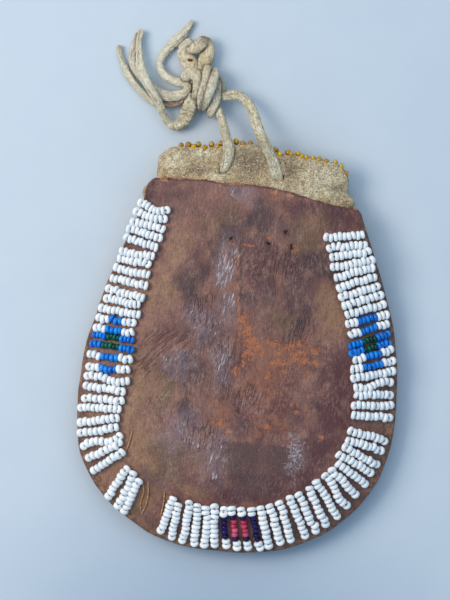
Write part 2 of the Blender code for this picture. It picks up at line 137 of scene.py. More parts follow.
def make_piece(name, verts, faces, materials, face_materials=None, sharp=None):
    """A mesh piece, smooth shaded, that rides with the pouch."""
    mesh = bpy.data.meshes.new(name)
    mesh.from_pydata(np.asarray(verts, dtype=float).tolist(), [], faces)
    for material in materials:
        mesh.materials.append(material)
    if face_materials is not None:
        mesh.polygons.foreach_set("material_index", np.asarray(face_materials, dtype=np.int32))
    mesh.validate()
    mesh.shade_smooth()
    if sharp:
        mesh.set_sharp_from_angle(angle=math.radians(sharp))
    piece = bpy.data.objects.new(name, mesh)
    bpy.context.scene.collection.objects.link(piece)
    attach(piece, "root")
    return piece


def store_values(piece, name, kind, values):
    """Keeps one value or vector at each corner of the mesh, for the material to read."""
    layer = piece.data.attributes.new(name, kind, "POINT")
    field = "vector" if kind == "FLOAT_VECTOR" else "value"
    layer.data.foreach_set(field, np.asarray(values, dtype=np.float32).ravel())


# %% [markdown]
# ## Material tools
# Every finish here is drawn by nodes and not by a picture, so it holds from any side and at any distance.
# The effects that several finishes share are node groups: cloudy patches, a soft spot at a chosen place,
# the pebbled height of hide, flakes that gather inside a zone, and fine lines. All work in millimetres.

# %% Node helpers
def add_node(tree, kind, inputs=None, **settings):
    """Adds a node, sets its options, and fills or links its inputs."""
    node = tree.nodes.new(kind)
    for key, value in settings.items():
        setattr(node, key, value)
    for key, value in (inputs or {}).items():
        if isinstance(value, bpy.types.NodeSocket):
            tree.links.new(value, node.inputs[key])
        else:
            node.inputs[key].default_value = value
    return node


def math_node(tree, operation, first, second=0.0, third=0.0):
    return add_node(tree, "ShaderNodeMath", {0: first, 1: second, 2: third}, operation=operation).outputs[0]


def vector_node(tree, operation, first, second):
    return add_node(tree, "ShaderNodeVectorMath", {0: first, 1: second}, operation=operation).outputs[0]


def noise_node(tree, place, scale, detail, roughness, distortion=0.0):
    return add_node(tree, "ShaderNodeTexNoise", {"Vector": place, "Scale": scale, "Detail": detail,
                                                 "Roughness": roughness, "Distortion": distortion})


def range_node(tree, value, low, high, first=0.0, last=1.0, easing="SMOOTHSTEP"):
    """Goes from first to last while the value goes from low to high."""
    node = add_node(tree, "ShaderNodeMapRange", {"Value": value, "From Min": low, "From Max": high,
                                                 "To Min": first, "To Max": last}, interpolation_type=easing)
    return node.outputs["Result"]


# %% Starting and ending a group
def new_group(name, output, **inputs):
    """A node group with a place, the named inputs with their start values, and one output."""
    tree = bpy.data.node_groups.new(name, "ShaderNodeTree")
    tree.interface.new_socket("Place", in_out="INPUT", socket_type="NodeSocketVector")
    for label, start in inputs.items():
        kind = "Vector" if isinstance(start, tuple) else "Float"
        socket = tree.interface.new_socket(label, in_out="INPUT", socket_type=f"NodeSocket{kind}")
        socket.default_value = start
    tree.interface.new_socket(output, in_out="OUTPUT", socket_type="NodeSocketFloat")
    return tree, tree.nodes.new("NodeGroupInput").outputs


def put_out(tree, value):
    tree.links.new(value, tree.nodes.new("NodeGroupOutput").inputs[0])


# %% Cloudy patches
clouds, given = new_group("cloudy_patches", "Mask", Scale=1.0, Detail=4.0, Low=0.4, High=0.6)
cloud_noise = noise_node(clouds, given["Place"], given["Scale"], given["Detail"], 0.6)
put_out(clouds, range_node(clouds, cloud_noise.outputs["Fac"], given["Low"], given["High"]))

# %% Soft spot
spots, given = new_group("soft_spot", "Mask", Centre=(0.0, 0.0, 0.0), Reach=(10.0, 10.0, 100.0), Feather=0.5)
spot_offset = vector_node(spots, "SUBTRACT", given["Place"], given["Centre"])
spot_share = vector_node(spots, "DIVIDE", spot_offset, given["Reach"])
spot_length = add_node(spots, "ShaderNodeVectorMath", {0: spot_share}, operation="LENGTH").outputs["Value"]
spot_start = math_node(spots, "SUBTRACT", 1.0, given["Feather"])
put_out(spots, range_node(spots, spot_length, spot_start, 1.0, 1.0, 0.0))

# %% Leather grain
grain, given = new_group("hide_grain", "Height", Pebble=1.6, Crease=0.35)
pebbles = add_node(grain, "ShaderNodeTexVoronoi", {"Vector": given["Place"], "Scale": given["Pebble"]},
                   feature="F1")
fine = noise_node(grain, given["Place"], 5.0, 4.0, 0.65)
creases = noise_node(grain, given["Place"], given["Crease"], 8.0, 0.62, 0.8)
pebble_height = math_node(grain, "MULTIPLY", pebbles.outputs["Distance"], 0.35)
grain_sum = math_node(grain, "MULTIPLY_ADD", fine.outputs["Fac"], 0.45, pebble_height)
put_out(grain, math_node(grain, "MULTIPLY_ADD", creases.outputs["Fac"], 1.1, grain_sum))

# %% Flakes
flakes, given = new_group("flaking_zone", "Mask", Zone=1.0, Scale=0.5, Level=0.9, Edge=0.08)
flake_noise = noise_node(flakes, given["Place"], given["Scale"], 8.0, 0.66)
flake_sum = math_node(flakes, "MULTIPLY_ADD", given["Zone"], 0.35, flake_noise.outputs["Fac"])
flake_full = math_node(flakes, "ADD", given["Level"], given["Edge"])
put_out(flakes, range_node(flakes, flake_sum, given["Level"], flake_full))

# %% Fine lines
lines, given = new_group("fine_lines", "Mask", Scale=1.0, Width=0.03)
line_noise = noise_node(lines, given["Place"], given["Scale"], 3.0, 0.5)
line_offset = math_node(lines, "SUBTRACT", line_noise.outputs["Fac"], 0.5)
put_out(lines, range_node(lines, math_node(lines, "ABSOLUTE", line_offset), 0.0, given["Width"], 1.0, 0.0))
print("node groups:", [group.name for group in bpy.data.node_groups])

# %% [markdown]
# ## A finish, coat by coat
# A finish is built as a painter would build it: a ground colour first, then one thin coat after another,
# each laid on through a mask. This class keeps the colour, the roughness and the height so far, so that a
# coat is one short call. The shader stays in the material itself, with its constant values set on it.

# %% Building a finish
SPOT_HEIGHT = 6.0
SPOT_DEPTH = 90.0
MIRRORED = (-1.0, 1.0, 1.0)


def linear(red, green, blue):
    """A colour as it looks on a screen, 0 to 255, as the shader's own values."""
    values = []
    for part in (red, green, blue):
        share = part / 255
        values.append(share / 12.92 if share <= 0.04045 else ((share + 0.055) / 1.055) ** 2.4)
    return (*values, 1.0)


class Finish:
    """A material in the making, with its place in millimetres."""

    def __init__(self, name, **settings):
        self.material = bpy.data.materials.new(name)
        self.material.use_nodes = True
        self.tree = self.material.node_tree
        self.shader = self.tree.nodes["Principled BSDF"]
        for label, value in settings.items():
            self.shader.inputs[label.replace("_", " ")].default_value = value
        in_metres = add_node(self.tree, "ShaderNodeTexCoord").outputs["Object"]
        self.place = vector_node(self.tree, "MULTIPLY", in_metres, (1000.0, 1000.0, 1000.0))
        self.color = self.rough = self.height = None

    def stored(self, name, output="Fac"):
        """A value that the mesh keeps at its corners."""
        return add_node(self.tree, "ShaderNodeAttribute", attribute_name=name).outputs[output]

    def math(self, operation, first, second=0.0, third=0.0):
        return math_node(self.tree, operation, first, second, third)

    def times(self, first, second):
        return self.math("MULTIPLY", first, second)

    def larger(self, first, second):
        return self.math("MAXIMUM", first, second)

    def ramp(self, value, low, high, first=0.0, last=1.0):
        return range_node(self.tree, value, low, high, first, last, "LINEAR")

    def stretched(self, factors, place=None):
        return vector_node(self.tree, "MULTIPLY", place or self.place, factors)

    def rotated(self, turn, place):
        inputs = {"Vector": place, "Rotation": (0.0, 0.0, turn)}
        return add_node(self.tree, "ShaderNodeMapping", inputs).outputs[0]

    def ragged(self, scale, reach, detail=5.0):
        """The place pushed about by noise, so that whatever is laid on it gets a ragged edge."""
        push = noise_node(self.tree, self.place, scale, detail, 0.6).outputs["Color"]
        centred = vector_node(self.tree, "SUBTRACT", push, (0.5, 0.5, 0.5))
        shift = add_node(self.tree, "ShaderNodeVectorMath", {0: centred, "Scale": reach}, operation="SCALE")
        return vector_node(self.tree, "ADD", shift.outputs[0], self.place)

    def effect(self, group, place=None, **inputs):
        """One of the shared effects, placed with its own values."""
        inputs = {label.capitalize(): value for label, value in inputs.items()}
        inputs["Place"] = place or self.place
        return add_node(self.tree, "ShaderNodeGroup", inputs, node_tree=group).outputs[0]

    def cloudy(self, scale, low, high, detail=4.0, place=None):
        return self.effect(clouds, place, scale=scale, detail=detail, low=low, high=high)

    def streaked(self, scale, long, low, high, place):
        """Clouds drawn out down the bag."""
        return self.cloudy(scale, low, high, place=self.stretched((1.0, 1.0 / long, 1.0), place))

    def flaky(self, zone, scale, level, edge, place=None):
        return self.effect(flakes, place, zone=zone, scale=scale, level=level, edge=edge)

    def lined(self, scale, width, place=None):
        return self.effect(lines, place, scale=scale, width=width)

    def spotted(self, places, feather, place=None):
        """Mask of several soft spots, each given by its centre and half sizes."""
        total = None
        for x, y, half_x, half_y in places:
            mask = self.effect(spots, place, centre=(x, y, SPOT_HEIGHT), reach=(half_x, half_y, SPOT_DEPTH),
                               feather=feather)
            total = mask if total is None else self.larger(total, mask)
        return total

    def mix(self, share, first, second):
        node = add_node(self.tree, "ShaderNodeMix", {0: share, 6: first, 7: second}, data_type="RGBA")
        return node.outputs[2]

    def ground(self, share, first, second):
        self.color = self.mix(share, linear(*first), linear(*second))

    def coat(self, color, strength, mask):
        """Lays a colour over what is there, where the mask says."""
        self.color = self.mix(self.times(mask, strength), self.color, linear(*color))

    def lift(self, mask, amount):
        self.height = self.math("MULTIPLY_ADD", mask, amount, self.height)

    def roughen(self, mask, amount):
        self.rough = self.math("MULTIPLY_ADD", mask, amount, self.rough)

    def done(self, relief=0.0):
        """Links what was gathered to the shader, with the relief in metres, and gives the material."""
        self.tree.links.new(self.color, self.shader.inputs["Base Color"])
        if self.rough is not None:
            self.tree.links.new(self.rough, self.shader.inputs["Roughness"])
        if self.height is not None:
            bump = add_node(self.tree, "ShaderNodeBump", {"Height": self.height, "Distance": relief,
                                                          "Strength": 1.0})
            self.tree.links.new(bump.outputs["Normal"], self.shader.inputs["Normal"])
        return self.material


print("mid grey as a shader value:", round(linear(128, 128, 128)[0], 3))

# %% [markdown]
# ## Brown leather
# The bag is smooth tanned leather, worn and dirty. Its colour runs from tan at the sides to slate and
# purple in the middle. Painting that by hand on an unwrapped sheet would fix it to one mesh. Here each
# stain is a list of soft spots with ragged edges, so wear can be moved or left out for another pouch.
# The back is plain, since its wear isn't seen, so the same function makes it without the worn coats,
# which also carry the painted sheen, highlights and shade.

# %% Dust and dark flecks along the rim
RIM_ZONE = 7.0


def rim_dust_and_dark_flecks(skin):
    """Lays tan dust near the sewn rim, and gives the mask of dark flecks near it, laid over it later."""
    near_rim = skin.ramp(skin.stored("from_rim"), 0.0, RIM_ZONE, 1.0, 0.0)
    skin.coat((148, 108, 74), 0.62, skin.flaky(near_rim, 0.35, 0.58, 0.30))
    return skin.flaky(near_rim, 0.6, 0.76, 0.14, skin.stretched(MIRRORED))


# %% Stains and painted sheen
# Each: colour, strength, and spots as centre x, y and half width, half height in millimetres.
LEATHER_STAINS_AND_SHEEN = [
    ((155, 117, 83), 0.82, [
        (-20.0, 25.0, 8.0, 14.0), (-24.5, 12.0, 9.0, 17.0), (24.0, 12.0, 10.0, 16.0),
        (-28.0, -16.0, 11.0, 24.0),
        (-34.0, -30.0, 14.0, 20.0), (-29.0, -45.0, 18.0, 13.0), (-10.0, -41.0, 9.0, 4.0),
        (38.0, -8.0, 8.0, 28.0), (34.0, 16.0, 8.0, 22.0), (-25.0, -30.0, 8.0, 15.0)]),
    ((112, 88, 60), 0.85, [
        (15.0, 26.0, 11.0, 12.0), (17.0, 34.0, 10.0, 12.0), (-17.0, -33.0, 11.0, 11.0),
        (-34.0, -5.0, 7.0, 6.0),
        (37.0, -24.0, 8.0, 8.0), (-10.0, 35.0, 10.0, 9.0), (-20.0, -14.0, 7.0, 11.0), (10.0, 9.0, 7.0, 6.0),
        (1.0, -33.0, 8.0, 6.0)]),
    ((66, 46, 52), 0.95, [
        (-8.0, 28.0, 10.0, 15.0), (12.0, 18.5, 14.0, 7.0), (15.0, 10.5, 7.0, 15.0), (3.0, 35.5, 10.0, 9.0),
        (-15.0, -8.0, 9.0, 12.0), (0.8, 12.5, 4.5, 6.0), (-16.0, 17.0, 8.0, 15.0), (22.0, 22.0, 8.0, 8.0),
        (14.0, 20.0, 12.0, 10.0), (-13.0, -18.0, 5.0, 10.0), (-10.0, 2.0, 7.0, 9.0),
        (11.5, 17.0, 10.0, 10.0), (17.0, 24.0, 9.0, 9.0)]),
    ((84, 42, 48), 0.92, [
        (25.5, -6.0, 10.0, 12.0), (27.0, -15.0, 12.0, 18.0), (24.0, -27.0, 12.0, 13.0),
        (19.0, -35.0, 11.0, 8.0), (4.0, 22.0, 12.0, 11.0), (10.0, -38.0, 24.0, 9.0),
        (-27.0, 42.0, 13.0, 7.0),
        (24.0, 38.0, 14.0, 10.0), (14.0, 41.0, 12.0, 4.0), (4.0, -41.5, 24.0, 6.0),
        (9.0, -14.0, 20.0, 22.0),
        (10.0, 22.0, 14.0, 8.0)]),
    # Violet grey: painted sheen of the bluish sky on the glossy zones.
    ((138, 116, 126), 0.52, [
        (-7.5, 22.0, 6.0, 16.0), (-5.5, 9.0, 6.5, 10.0), (-12.5, 5.0, 9.0, 10.0), (-17.0, -6.0, 8.0, 11.0),
        (-15.0, -26.0, 11.0, 16.0), (-5.0, -32.0, 8.5, 13.0), (-4.0, 42.3, 10.0, 3.6),
        (17.0, -28.0, 6.0, 10.0), (-6.0, -6.0, 5.0, 13.0), (-4.5, -35.5, 5.0, 6.0)]),
]


def lay_stains_and_sheen(skin, soft, wavy):
    for color, strength, places in LEATHER_STAINS_AND_SHEEN:
        zone = skin.spotted(places, 1.0, soft)
        skin.coat(color, strength, skin.flaky(zone, 0.15, 0.54, 0.32, skin.stretched((1.0, 0.55, 1.0), wavy)))


# %% Streaks and specks
def lay_streaks(skin, wavy, patchy):
    """Lays streaks that run down the bag and fine dark specks, and starts the height and roughness."""
    skin.coat((88, 58, 56), 0.42, skin.streaked(0.32, 2.2, 0.42, 0.66, wavy))
    skin.coat((176, 134, 112), 0.34, skin.streaked(0.40, 1.6, 0.50, 0.72, wavy))
    dark = skin.streaked(2.6, 4.0, 0.42, 0.68, wavy)
    pale = skin.streaked(2.2, 3.5, 0.46, 0.70, skin.stretched(MIRRORED, wavy))
    skin.coat((66, 42, 44), 0.26, dark)
    skin.coat((186, 156, 146), 0.34, skin.times(pale, patchy))
    specks = skin.cloudy(1.5, 0.50, 0.70, 6.0)
    skin.coat((64, 38, 38), 0.44, specks)
    skin.rough = 0.34
    skin.roughen(specks, 0.14)
    skin.height = skin.effect(grain, pebble=2.2, crease=0.3)
    skin.lift(dark, -0.20)
    skin.lift(pale, 0.20)


# %% Rust coloured crumbs
# The surface has crumbled here, down to the rust coloured inside. Below a line across the bag it is whole.
RUST_ZONE = [
    (-0.7, 7.4, 3.3, 4.8), (0.5, 4.4, 3.3, 4.6), (2.2, 1.0, 4.8, 4.2), (4.4, 0.2, 3.4, 3.8),
    (1.8, -2.2, 4.2, 3.0),
    (5.4, -1.6, 2.4, 2.4), (-2.3, 1.6, 2.0, 1.4), (7.0, 2.2, 1.8, 1.6), (8.6, 1.4, 2.9, 3.0),
    (9.8, -0.9, 2.6, 2.6), (13.0, 0.9, 3.2, 2.8), (16.2, 2.1, 2.8, 1.8), (18.5, 2.4, 1.5, 1.4),
    (20.5, 0.3, 3.2, 1.9), (16.8, -0.4, 3.0, 1.8), (14.6, -2.0, 3.8, 2.8), (11.0, -3.6, 5.4, 2.2),
    (17.6, -2.8, 3.0, 2.6), (21.0, -2.9, 2.6, 2.4), (12.3, -6.0, 2.2, 1.6), (18.4, -6.0, 2.4, 1.7),
    (-1.3, -7.4, 1.8, 3.4), (0.4, -5.0, 1.6, 2.4), (7.6, -7.6, 1.5, 3.2), (15.0, -15.4, 1.1, 1.0),
    (16.9, -17.2, 1.8, 1.3), (19.2, -16.0, 1.0, 2.0), (24.2, -23.4, 1.9, 1.6), (-4.4, -22.0, 3.6, 2.6),
    (-1.6, -24.2, 2.2, 1.8), (9.0, -21.6, 2.0, 2.8), (-1.2, 28.1, 4.6, 0.9), (-5.7, 28.3, 1.2, 1.2),
    (11.4, 28.4, 2.4, 1.6), (4.6, 30.6, 1.4, 2.0)]
RUST_HAZE = [(7.0, -10.0, 19.0, 24.0), (-4.0, -20.0, 10.0, 13.0), (14.0, -1.0, 12.0, 12.0),
             (6.0, 43.0, 9.0, 3.0),
             (11.0, -21.0, 11.0, 9.0)]
SMOOTH_PATCH = [(4.0, -30.0, 12.0, 12.0), (12.0, -30.0, 11.0, 12.0), (6.0, -37.0, 13.0, 7.0)]
SMOOTH_TOP = -26.8
SMOOTH_EDGE = 0.25


def lay_rust(skin, soft, wavy):
    """Lays the rust haze, the crumbs and the smooth patch, and gives the crumbs' mask."""
    y = add_node(skin.tree, "ShaderNodeSeparateXYZ", {"Vector": skin.ragged(0.5, 0.8)}).outputs["Y"]
    above = skin.ramp(y, SMOOTH_TOP - SMOOTH_EDGE, SMOOTH_TOP + SMOOTH_EDGE)
    haze_zone = skin.times(skin.spotted(RUST_HAZE, 0.95, soft), above)
    haze = skin.flaky(haze_zone, 1.2, 0.67, 0.20, skin.stretched((1.0, 0.6, 1.0), wavy))
    skin.coat((160, 101, 72), 0.46, haze)
    rust_zone = skin.times(skin.spotted(RUST_ZONE, 1.0, skin.ragged(0.5, 2.4)), above)
    rust = skin.times(skin.flaky(rust_zone, 0.9, 0.66, 0.12), skin.cloudy(2.2, 0.32, 0.54))
    skin.coat((186, 115, 74), 0.80, rust)
    skin.lift(rust, -0.5)
    below = skin.math("SUBTRACT", 1.0, above)
    skin.coat((74, 52, 54), 0.80, skin.times(skin.spotted(SMOOTH_PATCH, 0.95, soft), below))
    return rust


# %% Folds, with painted shade in them
WRINKLED = [(-3.5, -4.0, 9.0, 18.0), (3.0, -15.0, 9.0, 14.0), (-9.0, -27.0, 11.0, 13.0),
            (-12.0, 9.0, 9.0, 12.0),
            (8.0, 24.0, 10.0, 14.0), (14.0, 6.0, 9.0, 12.0)]
WRINKLED_ASLANT = [(-19.5, -1.0, 13.0, 10.0), (-26.0, -8.0, 9.0, 8.0)]


def fold_lines(skin, wavy, turn, places):
    """Mask of fine folds that run one way, inside soft spots. Their dark is painted shade."""
    zone = skin.flaky(skin.spotted(places, 1.0, wavy), 0.3, 0.60, 0.24, wavy)
    along = skin.stretched((1.0, 0.10, 1.0), skin.rotated(turn, wavy))
    return skin.times(skin.lined(0.80, 0.045, along), zone)


def lay_folds(skin, wavy):
    folds = skin.larger(fold_lines(skin, wavy, 0.04, WRINKLED), fold_lines(skin, wavy, 0.70, WRINKLED_ASLANT))
    # Painted shade along the fold lines.
    skin.coat((52, 32, 32), 0.55, folds)
    skin.lift(folds, -1.0)


# %% Glossy cracks, with painted highlights
# Where the old finish has cracked, its highlights are painted on in a near-white colour: in streaks that
# lean, in clear single strokes (x, y, half width, half length in millimetres), and in a net at the lower
# right.
GLOSS_PLACES = [
    (-9.0, 26.0, 6.0, 9.0), (-12.0, 5.0, 9.0, 10.0), (-17.0, -5.5, 8.5, 10.0), (-14.0, -26.0, 11.0, 15.0),
    (-5.0, -31.0, 9.0, 14.0), (-4.0, 42.4, 10.0, 3.6), (-6.0, -5.0, 5.5, 14.0), (4.0, -17.0, 8.0, 10.0),
    (-21.0, -17.0, 4.5, 7.0)]
CRACKLED = [(-7.0, 20.5, 5.0, 12.0), (-5.2, 12.0, 4.2, 7.0), (-4.2, 25.0, 3.0, 4.0)]
PAINTED_GLINT_STROKES = [
    (-7.1, 23.8, 0.36, 1.9), (-7.6, 20.0, 0.30, 5.0), (-6.3, 21.8, 0.40, 2.3), (-6.2, 18.0, 0.38, 2.4),
    (-5.3, 21.4, 0.30, 1.9), (-4.4, 26.0, 0.45, 1.7), (-3.3, 24.8, 0.40, 1.1), (-4.7, 20.0, 0.30, 2.9),
    (-6.3, 13.6, 0.34, 1.5), (-4.1, 13.2, 0.42, 2.0), (-3.7, 11.4, 0.42, 1.4), (-6.1, 9.3, 0.32, 2.0),
    (-8.6, 17.6, 0.28, 3.2), (-5.6, -5.5, 0.30, 4.0), (-4.5, -4.0, 0.28, 2.4), (-9.6, -29.0, 0.45, 0.9),
    (-8.0, -28.4, 0.40, 0.8), (-5.6, -32.0, 0.34, 2.4), (-4.6, -36.8, 0.50, 1.6), (-3.9, -37.2, 0.40, 1.0)]
NET_PLACES = [(17.6, -28.8, 4.8, 11.0), (17.0, -27.0, 3.0, 5.0)]
STROKE_LEAN = 0.22
LONG = (1.0, 0.5, 1.0)


def leaned(x, y):
    """Where a point comes to lie once the strokes' lean is turned upright."""
    cos, sin = math.cos(STROKE_LEAN), math.sin(STROKE_LEAN)
    return x * cos - y * sin, x * sin + y * cos


def lay_gloss_and_painted_glints(skin, soft, wavy):
    broken = skin.cloudy(1.1, 0.40, 0.60)
    gloss_zone = skin.spotted(GLOSS_PLACES, 0.95, soft)
    shiny = skin.flaky(gloss_zone, 0.34, 0.64, 0.26, skin.stretched(LONG))
    crackled_zone = skin.spotted(CRACKLED, 1.0, skin.ragged(0.4, 3.0))
    crackled = skin.flaky(crackled_zone, 0.60, 0.64, 0.20, skin.stretched(LONG))
    shine = skin.larger(skin.times(skin.times(shiny, broken), 0.60), skin.times(crackled, 0.80))
    leaning = skin.stretched((1.0, 0.12, 1.0), skin.rotated(STROKE_LEAN, wavy))
    painted_glints = skin.times(skin.cloudy(3.2, 0.52, 0.64, 2.0, leaning), shine)
    upright = skin.rotated(STROKE_LEAN, skin.ragged(0.6, 0.9))
    strokes = skin.spotted([(*leaned(x, y), *half) for x, y, *half in PAINTED_GLINT_STROKES], 0.8, upright)
    painted_glints = skin.larger(painted_glints, skin.times(strokes, skin.math("MULTIPLY_ADD", broken, 0.6, 0.25)))
    net_zone = skin.flaky(skin.spotted(NET_PLACES, 1.0, skin.ragged(0.3, 3.0)), 0.4, 0.64, 0.16)
    net = skin.times(skin.lined(0.95, 0.09), skin.math("MULTIPLY_ADD", broken, 0.6, 0.4))
    painted_glints = skin.larger(painted_glints, skin.times(net, net_zone))
    # Painted highlights: near-white on the cracks.
    skin.coat((222, 216, 226), 0.85, painted_glints)
    skin.lift(painted_glints, 1.2)
    skin.roughen(gloss_zone, -0.10)


# %% Old seam, needle holes and the rubbed lip, with painted shade in the holes and along the mouth
OLD_SEAM = [(-4.1, 27.0), (-3.6, 23.5), (-3.2, 20.0), (-2.8, 16.5), (-2.5, 13.0), (-2.0, 9.8)]
SEAM_HALF = (0.6, 2.8)
SEAM_SHADE_SHIFT = 0.9
NEEDLE_HOLES = [(-5.9, 29.5), (4.4, 29.3), (9.1, 32.9), (10.9, 28.8)]
BRUISE_HALF = (1.5, 1.9)
PRICK_HALF = (0.7, 0.6)
LIP_RUBBED = [(5.0, 43.9, 4.6, 2.0), (9.5, 43.2, 5.0, 2.2), (-27.0, 44.0, 6.0, 1.6), (12.5, 42.6, 3.0, 1.6)]


def lay_marks(skin, patchy):
    at_seam = skin.ragged(0.8, 1.6)
    seam = skin.spotted([(x, y, *SEAM_HALF) for x, y in OLD_SEAM], 0.9, at_seam)
    skin.coat((172, 106, 72), 0.80, skin.flaky(seam, 0.7, 0.72, 0.12))
    seam_shade = skin.spotted([(x + SEAM_SHADE_SHIFT, y, *SEAM_HALF) for x, y in OLD_SEAM], 0.9, at_seam)
    skin.coat((70, 44, 46), 0.60, seam_shade)
    crumbly = skin.ragged(0.9, 2.2)
    skin.coat((58, 36, 34), 0.75, skin.spotted([(x, y, *BRUISE_HALF) for x, y in NEEDLE_HOLES], 0.9, crumbly))
    pricks = skin.spotted([(x, y, *PRICK_HALF) for x, y in NEEDLE_HOLES], 0.6, crumbly)
    # Painted shade inside the needle holes.
    skin.coat((24, 12, 12), 0.9, pricks)
    skin.lift(pricks, -4.0)
    lip = skin.ramp(skin.math("MULTIPLY_ADD", patchy, 0.5, skin.stored("from_mouth")), 0.25, 1.1, 1.0, 0.0)
    rubbed = skin.spotted(LIP_RUBBED, 1.0, skin.ragged(0.5, 2.0))
    # A dark line along the mouth: painted shade at the leather's cut edge.
    skin.coat((70, 38, 34), 0.85, lip)
    skin.coat((188, 124, 90), 0.74, skin.flaky(skin.larger(lip, rubbed), 0.60, 0.77, 0.12))


# %% Leather, coat by coat
LEATHER_RELIEF = 0.00016


def brown_leather(name, worn):
    skin = Finish(name, Specular_IOR_Level=0.42)
    skin.ground(skin.cloudy(0.09, 0.38, 0.62), (114, 75, 69), (138, 95, 82))
    soft = skin.ragged(0.11, 13.0)
    wavy = skin.ragged(0.07, 4.0, 1.0)
    patchy = skin.cloudy(0.14, 0.36, 0.62)
    dark_rim_flecks = rim_dust_and_dark_flecks(skin)
    if worn:
        lay_stains_and_sheen(skin, soft, wavy)
    lay_streaks(skin, wavy, patchy)
    # Dark flecks near the rim, among the beads.
    skin.coat((62, 34, 30), 0.60, dark_rim_flecks)
    if worn:
        rust = lay_rust(skin, soft, wavy)
        lay_folds(skin, wavy)
        lay_gloss_and_painted_glints(skin, soft, wavy)
        skin.roughen(rust, 0.30)
        lay_marks(skin, patchy)
    return skin.done(LEATHER_RELIEF)


front_leather = brown_leather("brown_leather_front", True)
back_leather = brown_leather("brown_leather_back", False)
raw_edge = Finish("leather_cut_edge", Roughness=0.8)
raw_edge.ground(raw_edge.cloudy(1.1, 0.35, 0.65, 5.0), (120, 66, 42), (172, 110, 72))
raw_edge.height = raw_edge.effect(grain, pebble=3.0, crease=1.2)
cut_edge = raw_edge.done(0.0002)
print("leather nodes, front and back:", len(front_leather.node_tree.nodes), len(back_leather.node_tree.nodes))

# %% [markdown]
# ## Suede and hide
# Both are the same kind of skin, brain tanned and never glossy. The suede collar has a short nap, so its
# colour breaks into small light and dark flecks. The thong is a strip cut along the skin, so its streaks
# run along it. Its mesh keeps values for the material: the place along and round the strip, where it bears
# a stain with painted shade under crossing strands, and how dark it is painted in its grooves and where
# strands meet, for dirt and for the shade that falls there.

# %% Suede
SUEDE_PALE_AND_HIGHLIT = [(-24.0, 49.5, 5.5, 5.0), (-12.0, 46.3, 5.0, 1.8), (5.5, 45.4, 4.5, 2.0),
               (18.0, 49.0, 10.0, 6.0),
               (16.0, 44.5, 12.0, 2.6), (-17.0, 52.5, 6.0, 2.2)]
SUEDE_DARK_AND_SHADOWED = [(-3.0, 51.5, 8.0, 4.5), (8.5, 51.0, 3.5, 4.5), (-8.2, 50.0, 1.6, 3.6),
              (-17.0, 47.5, 7.0, 2.0),
              (7.0, 48.8, 1.4, 2.4), (22.0, 46.2, 4.0, 1.6)]


def tan_suede():
    nap = Finish("tan_suede", Roughness=1.0, Specular_IOR_Level=0.1, Sheen_Weight=0.2, Sheen_Roughness=0.6)
    soft = nap.ragged(0.3, 5.0)
    nap.ground(nap.cloudy(0.5, 0.35, 0.65, 5.0), (184, 158, 115), (210, 186, 142))
    # Pale nap, with painted highlights on the collar's bulge along the mouth and at its upper left.
    nap.coat((246, 230, 192), 0.95, nap.spotted(SUEDE_PALE_AND_HIGHLIT, 0.9, soft))
    # Darker nap, with painted shadow of the thongs beside their holes.
    nap.coat((136, 114, 90), 0.88, nap.spotted(SUEDE_DARK_AND_SHADOWED, 0.9, soft))
    worn = nap.cloudy(0.75, 0.44, 0.66, 8.0)
    nap.coat((116, 84, 56), 0.44, worn)
    light = nap.cloudy(2.3, 0.46, 0.64, 3.0, nap.stretched((-1.0, 0.8, 1.0)))
    dark = nap.cloudy(2.5, 0.50, 0.68, 3.0, nap.stretched((0.8, -1.0, 1.0)))
    nap.coat((250, 240, 212), 0.58, light)
    nap.coat((88, 62, 34), 0.55, dark)
    nap.height = nap.math("SUBTRACT", light, dark)
    nap.lift(worn, -1.0)
    return nap.done(0.00020)


suede = tan_suede()

# %% Hide
CLEAN_HIDE = [(-34.0, 77.0, 20.0, 22.0), (-25.0, 84.0, 8.0, 9.0), (-15.8, 70.0, 4.5, 9.0)]
WARM_HIDE = [(-20.3, 79.5, 9.0, 9.0)]
HANDLED_HIDE = [(-10.5, 57.0, 5.0, 11.0), (1.5, 55.0, 6.0, 10.0)]
HIDE_SLITS = [(-22.3, 78.5, 1.05, 0.62), (-26.6, 81.6, 0.9, 0.6)]


